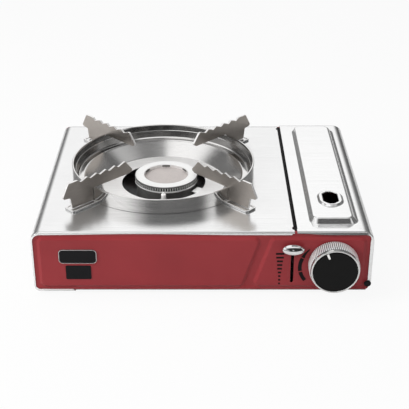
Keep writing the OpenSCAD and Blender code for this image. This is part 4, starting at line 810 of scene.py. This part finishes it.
def makeLid():
    c, p, b, w = lid, lid["panel"], lid["boss"], lid["window"]
    front, back = frontY - c["gap"] - sheet, backY + c["gap"] + sheet
    flats = [frontY + c["notchDepth"], backY - c["notchDepth"]]
    x1 = rightX - c["roll"]
    across = [lidLeft + c["startWidth"] * i / c["startSteps"] for i in range(c["startSteps"] + 1)] + [x1]
    stations = []
    for x in across:
        along = min((x - lidLeft) / c["startWidth"], 1)
        depth = c["flangeStart"] + (c["flangeTop"] - c["flangeStart"]) * along ** 2 * (3 - 2 * along)
        stations.append((x, lidZ, 0, 1, depth))

    def sideDepth(t):
        depth = c["flangeTop"] + (c["flangeSide"] - c["flangeTop"]) * t
        return depth + c["cornerFill"] * math.sin(math.pi * t) ** 2

    stations += bendStations(x1, lidZ - c["roll"], c["roll"], 90, 0, 10, sideDepth)[1:]
    stations += [(rightX, z, 1, 0, c["flangeSide"]) for z in (hingeZ + c["notchHeight"], hingeZ)]
    last = len(stations) - 2

    def dropped(i, k, count):
        # the side wall's lower corners stay open, so they clear the panels when the lid is up
        inner = bendSteps + 2 <= k < count - bendSteps - 3
        return i == last and k not in (0, count - 2) and not inner

    strips = sweepSheet(stations, front, back, c, flats, len(across) - 1, dropped)
    y0, y1 = front + c["bendRun"], back - c["bendRun"]
    lipY = [frontY + c["lipInset"], backY - c["lipInset"]]
    outline = [(x, y0) for x in across] + [(x1, y) for y in flats] + [(x, y1) for x in reversed(across)]
    outline += [(lidLeft, y) for y in reversed(lipY)]
    panelX = (rightX - p["fromRight"] - p["width"], rightX - p["fromRight"])
    panelY = (frontY + p["front"], backY - p["rear"])
    rings = []
    for inset, height in wallPath(p, p["rise"]):
        box = rectangle(panelX[0] + inset, panelX[1] - inset * p["rightWall"],
                        panelY[0] + inset, panelY[1] - inset)
        rings.append((filletPath(evenCorners(box, p["corner"] - inset), 9, True), height))
    bossY = frontY + b["y"]
    for inset, height in wallPath(b, b["rise"]):
        oval = stadium(b["x"], bossY, b["width"] - 2 * inset, b["length"] - 2 * inset)
        rings.append((oval, p["rise"] + height))
    top = p["rise"] + b["rise"]
    hw, hl, cut = w["width"] / 2, w["length"] / 2, w["cut"]
    corners = [(-hw, -hl + cut), (-hw + cut, -hl), (hw - cut, -hl), (hw, -hl + cut), (hw, hl - cut),
               (hw - cut, hl), (-hw + cut, hl), (-hw, hl - cut)]
    corners = [(b["x"] + x, bossY + y) for x, y in corners]
    rims = []
    for inset, drop, radius in w["rim"]:
        edge = insetPolygon(corners, inset) if inset else corners
        rims.append((filletPath(evenCorners(edge, radius), 5, True), top - drop))
    verts, faces = patch(outline, rims[-1:], rings + rims[:-1])  # the innermost rim is the hole
    plate = ([(x, y, lidZ + h) for x, y, h in verts], faces)
    lip = lipSheet(lidLeft, lipY, lidZ, c["lip"])
    obj = newPiece("lidShell", join([strips, plate, lip]), "lid_steel")
    faceOut(obj, (lidLeft + 6, 0, lidZ), (0, 0, 1))
    seat(obj, "lid", "lid_steel", "cartridge_lid", wall=sheet, even=False)
    e = c["ear"]  # hinge ears at both ends
    bore, rim = [arcPoints(hingeX, hingeZ, r, 0, 360, 40)[:-1] for r in (e["bore"], e["radius"])]
    for name, y in (("lidEarFront", front - e["overlap"]), ("lidEarBack", back + e["overlap"] - sheet)):
        loops = [[(x, y + d, z) for x, z in outline] for outline, d in
                 ((bore, 0), (rim, 0), (rim, sheet), (bore, sheet), (bore, 0))]
        ear = newPiece(name, stack(loops, False), "lid_steel")
        seat(ear, "lid", "lid_steel", bevel=e["bevel"])


panelSheet = {"end": 0.8, "rightGap": 1.8, "low": 1.4, "corners": (4, 4, 8.3, 7.2),
              "fold": 12, "foldFrom": 13.3, "foldTop": 20, "bend": 1.4,
              "fieldEnd": 5, "fieldLow": 3.1, "fieldTop": 4.4, "fieldCorner": 7,
              "fieldInset": 0.2, "valleyLeft": 50.2, "valley": 7.3, "lean": 19.7,
              "wall": 3.2, "foot": 2.0, "crown": 2.0, "lead": 3,
              "slotX": 90.2, "slotWidth": 3.2, "slotLow": 14.5, "slotHigh": 56.9,
              "knobHole": 5, "pinHole": 1.5}


def makeFrontPanel():
    c = panelSheet
    x0, x1 = leftX + c["end"], rightX - c["rightGap"]
    z0, z1 = baseZ + c["low"], topZ - sheet

    def outline(inset):
        box = rectangle(x0 + inset, x1 - inset, z0 + inset, z1 - inset)
        return filletPath([(x, z, r - inset) for (x, z), r in zip(box, c["corners"])], 6, True)

    low, high = z0 + c["fieldLow"], topZ - c["fieldTop"]
    left, right = x0 + c["fieldEnd"], x1 - c["fieldEnd"]
    vx = coverRight - c["valleyLeft"]
    fields = [[(left, low), (vx, low), (vx + c["lean"], high), (left, high)],
              [(vx + c["valley"], low), (right, low), (right, high), (vx + c["valley"] + c["lean"], high)]]
    rings = [(softOutline(field, inset + c["fieldInset"], c["fieldCorner"]), height)
             for field in fields for inset, height in wallPath(c, fieldRise)]
    half = c["slotWidth"] / 2
    slot = arcPoints(c["slotX"], c["slotHigh"] - half, half, 0, 180, 8)
    slot += arcPoints(c["slotX"], c["slotLow"] + half, half, 180, 360, 8)
    holes = [(slot, fieldRise), (arcPoints(knobX, knobZ, c["knobHole"], 0, 360, 32)[:-1], fieldRise),
             (arcPoints(hingeX, hingeZ, c["pinHole"], 0, 360, 20)[:-1], 0)]
    verts, faces = patch(outline(c["bend"]), holes, rings)
    parts = [([(x, frontY - h, z) for x, z, h in verts], faces)]
    loops = []
    for k in range(bendSteps + 1):
        a = math.radians(90 * k / bendSteps)
        inset, depth = c["bend"] * (1 - math.sin(a)), c["bend"] * (1 - math.cos(a))
        loops.append([(x, frontY + depth, z) for x, z in outline(inset)])
    parts.append(stack(loops, False))
    # the fold behind the edge, which stops above the tray's lip
    edge = outline(0)
    foldZ = z0 + c["foldFrom"]
    fold = []
    y0, y1 = frontY + c["bend"], frontY + c["fold"]
    for i, (xa, za) in enumerate(edge):
        xb, zb = edge[(i + 1) % len(edge)]
        if min(za, zb) < foldZ and max(za, zb) < z1 - c["foldTop"]:
            continue
        za, zb = max(za, foldZ), max(zb, foldZ)
        fold += [(xa, y0, za), (xb, y0, zb), (xb, y1, zb), (xa, y1, za)]
    parts.append((fold, [(i, i + 1, i + 2, i + 3) for i in range(0, len(fold), 4)]))
    obj = newPiece("frontSheet", join(parts), "red_paint")
    faceOut(obj, (0, frontY - fieldRise, 40), (0, -1, 0))
    seat(obj, "stove_body", "red_paint", "front_panel", wall=sheet, even=False)


# black strips of painted shade for the gap between cover and lid
gapShade = {"proud": 0.2, "height": 3.0, "gap": 0.2, "over": 0.6, "clear": 0.02, "front": 12.5, "back": 4,
        "lidShadeFront": 5.5, "overLid": 0.5, "overEdge": 0.12, "lidShadeDown": 1.5}


def makeGapShade():
    # a black strip painted as the shade in the gap between cover and lid, and a thin black band of painted
    # shade on the lid's own edge
    c = gapShade
    back = backY - c["back"]
    left, right, top = coverRight - c["over"], lidLeft - c["gap"], topZ + c["proud"]
    edgeX, low = coverRight - c["clear"], top - c["height"]
    section = filletPath([(left, topZ, 0), (edgeX, topZ, 0), (edgeX, low, 0.2), (right, low, 0.5),
                          (right, top, 0.3), (left, top, 0.15)], 4, True)
    strip = newPiece("gapShadeStrip", stack(alongY(section, (frontY + c["front"], back))), "rubber_and_gap_shade")
    seat(strip, "stove_body", "pin_black")
    left, right = lidLeft - c["overEdge"], lidLeft + c["overLid"]
    top, low = lidZ + c["proud"], lidZ - c["lidShadeDown"]
    section = filletPath([(left, low, 0), (lidLeft, low, 0), (lidLeft, lidZ, 0), (right, lidZ, 0),
                          (right, top, 0.1), (left, top, 0.15)], 4, True)
    lidShade = newPiece("lidEdgeShade", stack(alongY(section, (frontY + c["lidShadeFront"], back))), "rubber_and_gap_shade")
    seat(lidShade, "lid", "lid_steel")


makeCover()
makeLid()
makeFrontPanel()
makeGapShade()
print("sheet metal made")

# pan support

ring = {"outer": 100.3, "rim": 2.4, "foot": 6, "ledge": 7.9, "height": 16.1, "lift": 0.3, "stepDown": 6.4,
        "segments": 160}
dish = {"slope": 18.4, "depth": 12.2, "hole": 46.6, "crown": 0.9, "segments": 160}
panPlace = placeAt(ringX, ringY, 0)


def makeRing():
    c = ring
    outer, z0, z1 = c["outer"], topZ + c["lift"], topZ + c["height"]
    foot = outer - c["foot"]
    ledge, wallTop = foot - c["ledge"], outer - c["rim"]
    step = z1 - c["stepDown"]  # a pressed step runs round the inner wall
    inner = z0 + sheet
    foldedRim = [(outer, z1 - 0.3, 0.4), (outer - 0.4, z1, 0.3), (outer - 1.6, z1, 0.3),
                 (outer - 2.0, z1 - 0.5, 0.3)]
    pressedStep = [(wallTop, z1 - 1.2, 0.4), (wallTop - 1.25, step, 0.25), (wallTop - 1.85, step - 0.3, 0.25)]
    floor = [(foot + 0.3, inner + 1.3, 0.5), (foot - 0.7, inner, 0.5)]
    curledLedge = [(ledge + 1.7, inner, 2.5), (ledge, inner - 0.75, 0)]
    path = filletPath([(outer, z0, 0)] + foldedRim + pressedStep + floor + curledLedge, 4)
    obj = newPiece("ringShell", revolve(path, c["segments"]), "ring_steel", panPlace)
    faceOut(obj, (ringX - outer, ringY, z0 + 5), (-1, 0, 0))

    def innerSide(face, at):  # the inner wall, not its beads, is painted darker: painted shade and reflection
        return math.hypot(at.x - ringX, at.y - ringY) < wallTop + 0.1 and abs(face.normal.z) < 0.5

    wearToo(obj, "inner_wall_shade", innerSide)
    seat(obj, "pan", "ring_steel", "wind_ring", wall=sheet)


def makeDish():
    c = dish
    ledge = ring["outer"] - ring["foot"] - ring["ledge"]
    z0, low = topZ + ring["lift"], topZ - c["depth"]
    path = filletPath([(ledge + 1.6, z0, 0), (ledge + 0.3, z0, 1.6), (ledge - c["slope"] + 0.2, low, 4.0),
                       (c["hole"], low + c["crown"], 0)], 7)
    obj = newPiece("dishShell", revolve(path, c["segments"]), "dish_steel", panPlace)
    faceOut(obj, (ringX - 60, ringY, low + 1), (0, 0, 1))
    # painted light: the flat floor gets a lighter, partly diffuse copy of the dish's steel
    wearToo(obj, "dish_floor_light", lambda face, at: face.normal.z > 0.99 and at.z < low + 2)
    seat(obj, "pan", "dish_steel", "drip_dish", wall=sheet)


blade = {"thick": 2.4, "top": 31, "drop": 3, "pitch": 12.5, "teeth": 5, "tooth": 4.5, "firstTooth": 21.6,
         "foot": 129, "beak": 140, "inner": 46.5, "padTop": 2.1, "edge": 0.22,
         "angles": {"FrontLeft": 225, "FrontRight": 315, "BackRight": 45, "BackLeft": 135}}


def bladeOutline():
    c = blade
    top, foot, beak, pad, inner = topZ + c["top"], c["foot"], c["beak"], topZ + c["padTop"], c["inner"]
    rimZ, legR = topZ + ring["height"], ring["outer"] + 0.3
    valley = top - c["drop"]
    leg = [(legR, pad, 0), (foot, pad, 0.3), (foot + 2, pad + 12.3, 1.0)]
    beakEdge = [(beak - 1.5, pad + 13.2, 0.8), (beak, pad + 15.2, 1.0), (foot + 4.5, top - 2.3, 1.5)]
    crest = [(foot + 3, top, 1.5), (foot - 9, top, 1.5), (foot - 12.8, valley, 1.5)]
    saw = []
    for i in range(c["teeth"]):
        r = foot - c["firstTooth"] - i * c["pitch"]
        saw += [(r, top, 1.6), (r - c["tooth"], valley, 1.6)]
    saw[-1] = (r - 2, top - 0.2, 1.0)  # the last tooth has no valley behind it
    end = [(inner, top - 11, 1.0), (inner + 0.5, top - 13, 0.8), (inner + 4, rimZ, 0.6), (legR, rimZ, 0)]
    return filletPath(leg + beakEdge + crest + saw + end, 4, True)


def makeBlades():
    c = blade
    half = c["thick"] / 2
    drawing = stack(alongY(bladeOutline(), (-half, half)))
    for name, angle in c["angles"].items():
        obj = newPiece("blade" + name, drawing, "support_steel", placeAt(ringX, ringY, 0, angle))
        # painted highlight: the blade's edges get a brighter finish
        wearToo(obj, "edge_highlight", lambda face, at: len(face.vertices) == 4)
        side = name.replace("Left", "_left").replace("Right", "_right").lower()
        seat(obj, "pan", "support_steel", "support_" + side, bevel=c["edge"])


pad = {"outer": 133, "width": 15.3, "thick": 1.8, "border": 2.3, "hollow": 0.7, "corner": 3}


def padOutline(inset):
    half = pad["width"] / 2 - inset
    innerR = ring["outer"] + 0.1 + inset
    start = math.degrees(math.asin(half / innerR))
    inner = evenCorners(arcPoints(0, 0, innerR, start, -start, 6), 0)
    outer = [(pad["outer"] - inset, y, pad["corner"] - inset * 0.6) for y in (-half, half)]
    return filletPath(inner + outer, 6, True)


def makePads():
    c = pad
    z0, thick, border = topZ + ring["lift"], c["thick"], c["border"]
    levels = [(0, 0), (0, thick - 0.5), (0.15, thick - 0.15), (0.5, thick), (border - 0.7, thick),
              (border - 0.2, thick - 0.35), (border, thick - c["hollow"])]
    loops = [[(x, y, z0 + h) for x, y in padOutline(inset)] for inset, h in levels]
    obj = newPiece("supportPads", stack(loops), "pad_steel")
    growRound(obj, 4, 45, panPlace)
    wearToo(obj, "edge_highlight", lambda face, at: at.z > z0 + thick - 0.3)  # the raised border gets a painted highlight
    seat(obj, "pan", "pad_steel", "support_pads")


makeRing()
makeDish()
makeBlades()
makePads()
print("pan support made")

# burner

cap = {"outer": 34.6, "recess": 24.2, "plate": 1.9, "lip": 1.5, "lipOut": 0.12, "lipTop": 0.3, "seat": 4.2,
       "ledge": 2, "ledgeThick": 1, "recessWall": 1.4, "wall": 3, "liner": 0.6, "segments": 144,
       "ports": 76, "portWidth": 1.75, "portDepth": 0.25,
       "notch": {"count": 6, "turn": 32, "width": 9, "height": 1.9, "down": 0.6}}
burnerPlace = placeAt(burnerX, burnerY, 0)


def reachOf(at):
    return math.hypot(at.x - burnerX, at.y - burnerY)


def makeCap():
    c, n = cap, cap["notch"]
    outer, recess, top, low = c["outer"], c["recess"], capHigh.z, capLow.z
    under, seatZ, wallR, portR = top - c["plate"], top - c["seat"], outer - c["wall"], outer - c["portDepth"]
    ledgeR, ledgeZ, backR = recess - c["ledge"], seatZ - c["ledgeThick"], recess + c["recessWall"]
    path = filletPath([(wallR, under, 0), (outer, under, 0.2), (outer, top, 0.7), (recess, top, 0.6),
                       (recess, seatZ, 0.2), (ledgeR, seatZ, 0), (ledgeR, ledgeZ, 0), (backR, ledgeZ, 0),
                       (backR, under, 0)], 4, True)
    plate = newPiece("capRing", revolve(path, c["segments"], True), "burner_cap", burnerPlace)
    # painted shade: the plate's outer side is a dark copy of its metal
    wearToo(plate, "cap_side_shade", lambda face, at: reachOf(at) > portR and abs(face.normal.z) < 0.6)
    seat(plate, "stove_body", "burner_cap", "burner_cap")
    # the wall behind the flame ports, painted black as the shade inside them, with the lip under them
    bandR, lipR, linerR = outer - 0.05, outer + c["lipOut"], wallR + c["liner"]
    lipLow, lipTop = low - c["lip"], low + c["lipTop"]
    band = [(wallR, low), (bandR, low), (bandR, lipLow), (lipR, lipLow), (lipR, lipTop),
            (linerR, lipTop), (linerR, under), (wallR, under)]
    inner = newPiece("portWall", revolve(band, c["segments"], True), "port_shade", burnerPlace)
    # the lip under the ports gets a painted highlight; the ports' floor keeps the black painted shade
    wearToo(inner, "lip_highlight", lambda face, at: at.z < lipTop + 0.02 and reachOf(at) > outer - 0.3)
    seat(inner, "stove_body", "burner_casting")
    # dark notches round the recess: dark boxes painted as the shade in the notches
    loops = alongZ(rectangle(recess - 0.4, recess + 0.5, -n["width"] / 2, n["width"] / 2),
                   (top - n["down"] - n["height"], top - n["down"]))
    notch = newPiece("recessNotches", stack(loops), "notch_shade")
    growRound(notch, n["count"], n["turn"], burnerPlace)
    seat(notch, "stove_body", "burner_casting")
    # the ribs between the flame ports, a darker copy of the cap's metal as painted shade under the plate
    half = (2 * math.pi * (outer - 0.2) / c["ports"] - c["portWidth"]) / 2
    section = filletPath([(wallR, -half * 0.9, 0), (portR, -half, 0.3), (portR, half, 0.3),
                          (wallR, half * 0.9, 0)], 2, True)
    rib = newPiece("portRibs", stack(alongZ(section, (low + 0.2, under + 0.05))), "rib_shade")
    growRound(rib, c["ports"], 0, burnerPlace)
    seat(rib, "stove_body", "burner_cap")


makeCap()
print("burner made")

# knob and lever

knob = {"radius": 25.3, "reach": 18.7, "face": 22.2, "faceSeat": 1.6, "web": 1.6, "wall": 2,
        "ridges": 76, "ridge": 0.9, "ridgeFrom": 0.8, "ridgeTo": 15.2, "ridgeShare": 0.7,
        "pointerAt": 113, "pointer": 6.4, "pointerWidth": 2.0, "pointerRise": 0.3, "segments": 144}
knobPlace = placeAt(knobX, skirtHigh.y, knobZ, 90, "X")


def makeKnob():
    # drawn along the knob's own axis, from the panel outwards
    c = knob
    radius, depth, faceR, endT = c["radius"], c["reach"], c["face"], c["ridgeTo"]
    base, inside = radius - c["ridge"], radius - c["wall"]
    front = depth - c["pointerRise"]
    seatT = front - c["faceSeat"]
    web = seatT - c["web"]
    inner = [(0, web, 0), (inside - 0.7, web, 0.5), (inside, 0, 0.2)]
    side = [(base, 0, 0.4), (base, endT + 0.4, 0.3), (radius - 0.7, endT + 0.9, 0.6),
            (radius - 1.2, depth - 0.25, 0.8)]
    recess = [(faceR + 0.5, depth, 0.35), (faceR, depth - 0.7, 0), (faceR, seatT, 0), (0, seatT, 0)]
    path = filletPath(inner + side + recess, 4)
    body = newPiece("knobSkirt", revolve(path, c["segments"]), "knob_chrome", knobPlace)

    # painted shade: the skirt between the ridges is nearly black
    def betweenRidges(face, at):
        return abs(face.normal.y) < 0.05 and math.hypot(at.x - knobX, at.z - knobZ) > base - 0.1

    wearToo(body, "groove_shade", betweenRidges)
    seat(body, "knob", "knob_chrome", "knob_skirt")
    # knurling: small rounded ridges round the skirt
    half = math.pi * radius / c["ridges"] * c["ridgeShare"]
    shoulder = base + c["ridge"] * 0.8
    section = [(base - 0.1, -half), (shoulder, -half * 0.4), (radius, 0), (shoulder, half * 0.4),
               (base - 0.1, half)]
    loops = [[(base + (x - base) * scale, y, t) for x, y in section] for t, scale in
             ((c["ridgeFrom"], 0.2), (c["ridgeFrom"] + 0.7, 1), (endT - 0.6, 1), (endT, 0.3))]
    ridge = newPiece("knobKnurl", stack(loops), "knurl_silver")
    growRound(ridge, c["ridges"], 0, knobPlace)
    seat(ridge, "knob", "knob_chrome")
    # black face with a faint dome
    dome = filletPath([(0, front, 0), (8, front - 0.02, 0), (16, front - 0.08, 0),
                       (faceR - 0.9, front - 0.16, 0.8), (faceR - 0.15, front - 0.5, 0.5),
                       (faceR - 0.1, seatT, 0), (0, seatT, 0)], 4)
    seat(newPiece("knobFace", revolve(dome), "knob_black", knobPlace), "knob", "knob_black", "knob_face")
    # white pointer, round at its inner end
    half = c["pointerWidth"] / 2
    x0, x1 = faceR - c["pointer"], faceR - 0.5
    middle = (x0 + x1) / 2
    outline = arcPoints(x0 + half, 0, half, 90, 270, 10) + [(x1, -half * 1.15), (x1, half * 1.15)]
    loops = []
    for inset, t in ((0, front - 0.4), (0, depth - 0.1), (0.1, depth)):
        shrinkX, shrinkY = 1 - 2 * inset / (x1 - x0), 1 - inset / half
        loops.append([(middle + (x - middle) * shrinkX, y * shrinkY, t) for x, y in outline])
    turn = Matrix.Rotation(math.radians(c["pointerAt"]), 4, "Z")
    mark = newPiece("knobPointer", stack(loops), "pointer_white", knobPlace @ turn)
    seat(mark, "knob", "pointer_white", "knob_pointer")


leverKnob = {"width": 22.5, "height": 11.4, "seat": 50.68, "lean": -22, "steps": 72,
             "place": (90.2, -84.1, 35.7),
             # share of the full size, and how far out
             "section": [(0.86, 0.0), (0.93, 0.12), (0.975, 0.45), (1.0, 1.1), (1.0, 2.3), (0.985, 3.2),
                         (0.95, 4.0), (0.89, 4.7), (0.8, 5.35), (0.68, 5.85), (0.52, 6.25), (0.34, 6.48),
                         (0.15, 6.58), (0.02, 6.6)]}


def makeLeverKnob():
    c = leverKnob
    turns = [2 * math.pi * i / c["steps"] for i in range(c["steps"])]
    halfX, halfZ = c["width"] / 2, c["height"] / 2
    loops = [[(halfX * share * math.cos(a), -out, halfZ * share * math.sin(a)) for a in turns]
             for share, out in c["section"]]
    place = placeAt(*c["place"], c["lean"], "X") @ placeAt(0, -c["seat"], 0)
    obj = newPiece("leverButton", stack(loops), "lever_chrome", place)
    seat(obj, "lever", "lever_chrome", "lever_knob")


makeKnob()
makeLeverKnob()
print("knob and lever made")

# plates, prints and small trim

badge = {"x": -124.65, "z": 45.0, "width": 38.3, "height": 15.9, "edge": 0.9, "thick": 1.0, "corner": 4.2}
notice = {"x": -124.65, "z": 26.5, "width": 25.5, "height": 15.8, "thick": 0.5, "corner": 1.5}
faceY = frontY - fieldRise


def makePlate(name, c, levels, slot, node, caps=True):
    # levels are (inset, rise) from the panel's raised field outwards
    x, z, halfX, halfZ = c["x"], c["z"], c["width"] / 2, c["height"] / 2
    box = rectangle(x - halfX, x + halfX, z - halfZ, z + halfZ)
    loops = [[(x, faceY - rise, z) for x, z in softOutline(box, inset, c["corner"], 6)]
             for inset, rise in levels]
    seat(newPiece(name, stack(loops, caps), slot), "stove_body", slot, node)


def makePlates():
    t, e = badge["thick"], badge["edge"]
    levels = [(0, 0), (0, t - 0.3), (0.1, t - 0.1), (0.3, t), (e - 0.3, t), (e - 0.1, t - 0.1), (e, t - 0.35),
              (e, 0), (0, 0)]
    makePlate("badgeFrame", badge, levels, "badge_silver", "badge_border", False)
    levels = [(e + 0.02, 0), (e + 0.02, t * 0.7 - 0.1), (e + 0.2, t * 0.7)]
    makePlate("badgePlate", badge, levels, "badge_black", "badge_plate")
    levels = [(0, 0), (0, notice["thick"] - 0.15), (0.15, notice["thick"])]
    makePlate("noticePlate", notice, levels, "badge_black", "notice_plate")


prints = {"x": 77.7, "film": 0.12, "bar": 2.0, "first": 47.9, "step": 4.31,
          "widths": (8.4, 7.7, 6.0, 5.2, 4.7, 3.3, 2.3, 2.1, 1.8),
          "centre": (121.1, 32.6), "arc": ((124, 152), (154.5, 191), (194.5, 221)), "arcInner": 21.3,
          "arcOuter": 25.1, "arcThin": 0.9, "arcSteps": 16}


def makePrints():
    c, ink = prints, materials["ink_black"]
    mesh = bpy.data.meshes.new("heatScale")
    mesh.from_pydata([Vector((c["x"], faceY - c["film"] / 2, c["first"] - i * c["step"])) * mm
                      for i in range(len(c["widths"]))], [], [])
    width = mesh.attributes.new("barWidth", "FLOAT", "POINT")
    for i, value in enumerate(c["widths"]):
        width.data[i].value = value * mm
    mesh.materials.append(ink)
    bars = addObject("heatScale", mesh)
    grow(bars, printedBars, {"Height": c["bar"] * mm, "Film": c["film"] * mm, "Finish": ink})
    seat(bars, "stove_body", "badge_black")
    parts = []
    cx, cz = c["centre"]
    taper = c["arcOuter"] - c["arcThin"] - c["arcInner"]  # the arc thins out at its upper end
    for start, end in c["arc"]:
        outline = arcPoints(cx, cz, c["arcOuter"], start, end, c["arcSteps"])
        for k in range(c["arcSteps"] + 1):
            share = k / c["arcSteps"]
            a, r = math.radians(end + (start - end) * share), c["arcInner"] + taper * share
            outline.append((cx + r * math.cos(a), cz + r * math.sin(a)))
        parts.append(stack(alongY(outline, (faceY, faceY - c["film"]))))
        taper = 0
    seat(newPiece("flameScale", join(parts), "ink_black"), "stove_body", "badge_black")


pins = {"headSeat": 1.0, "dome": [(0, 1.0, 0), (2.2, 0.95, 1.2), (3.6, 0.45, 0.4), (3.6, 0, 0)],
        "shank": 1.5, "shankLength": 3.6, "segments": 48}


def makeHingeHeads():
    c = pins
    pinLow, pinHigh = boxMm("hinge_pins")
    r, end = c["shank"], -c["shankLength"]
    path = filletPath(c["dome"], 4) + [(r, 0), (r, end), (0, end)]
    parts = []
    for y, side in ((pinLow.y + c["headSeat"], 90), (pinHigh.y - c["headSeat"], -90)):
        verts, faces = revolve(path, c["segments"])
        turn = Matrix.Translation((hingeX, y, hingeZ)) @ Matrix.Rotation(math.radians(side), 4, "X")
        parts.append(([tuple(turn @ Vector(v)) for v in verts], faces))
    seat(newPiece("hingeHeads", join(parts), "pin_black"), "stove_body", "pin_black", "hinge_pins")


makePlates()
makePrints()
makeHingeHeads()
print("plates and prints made")
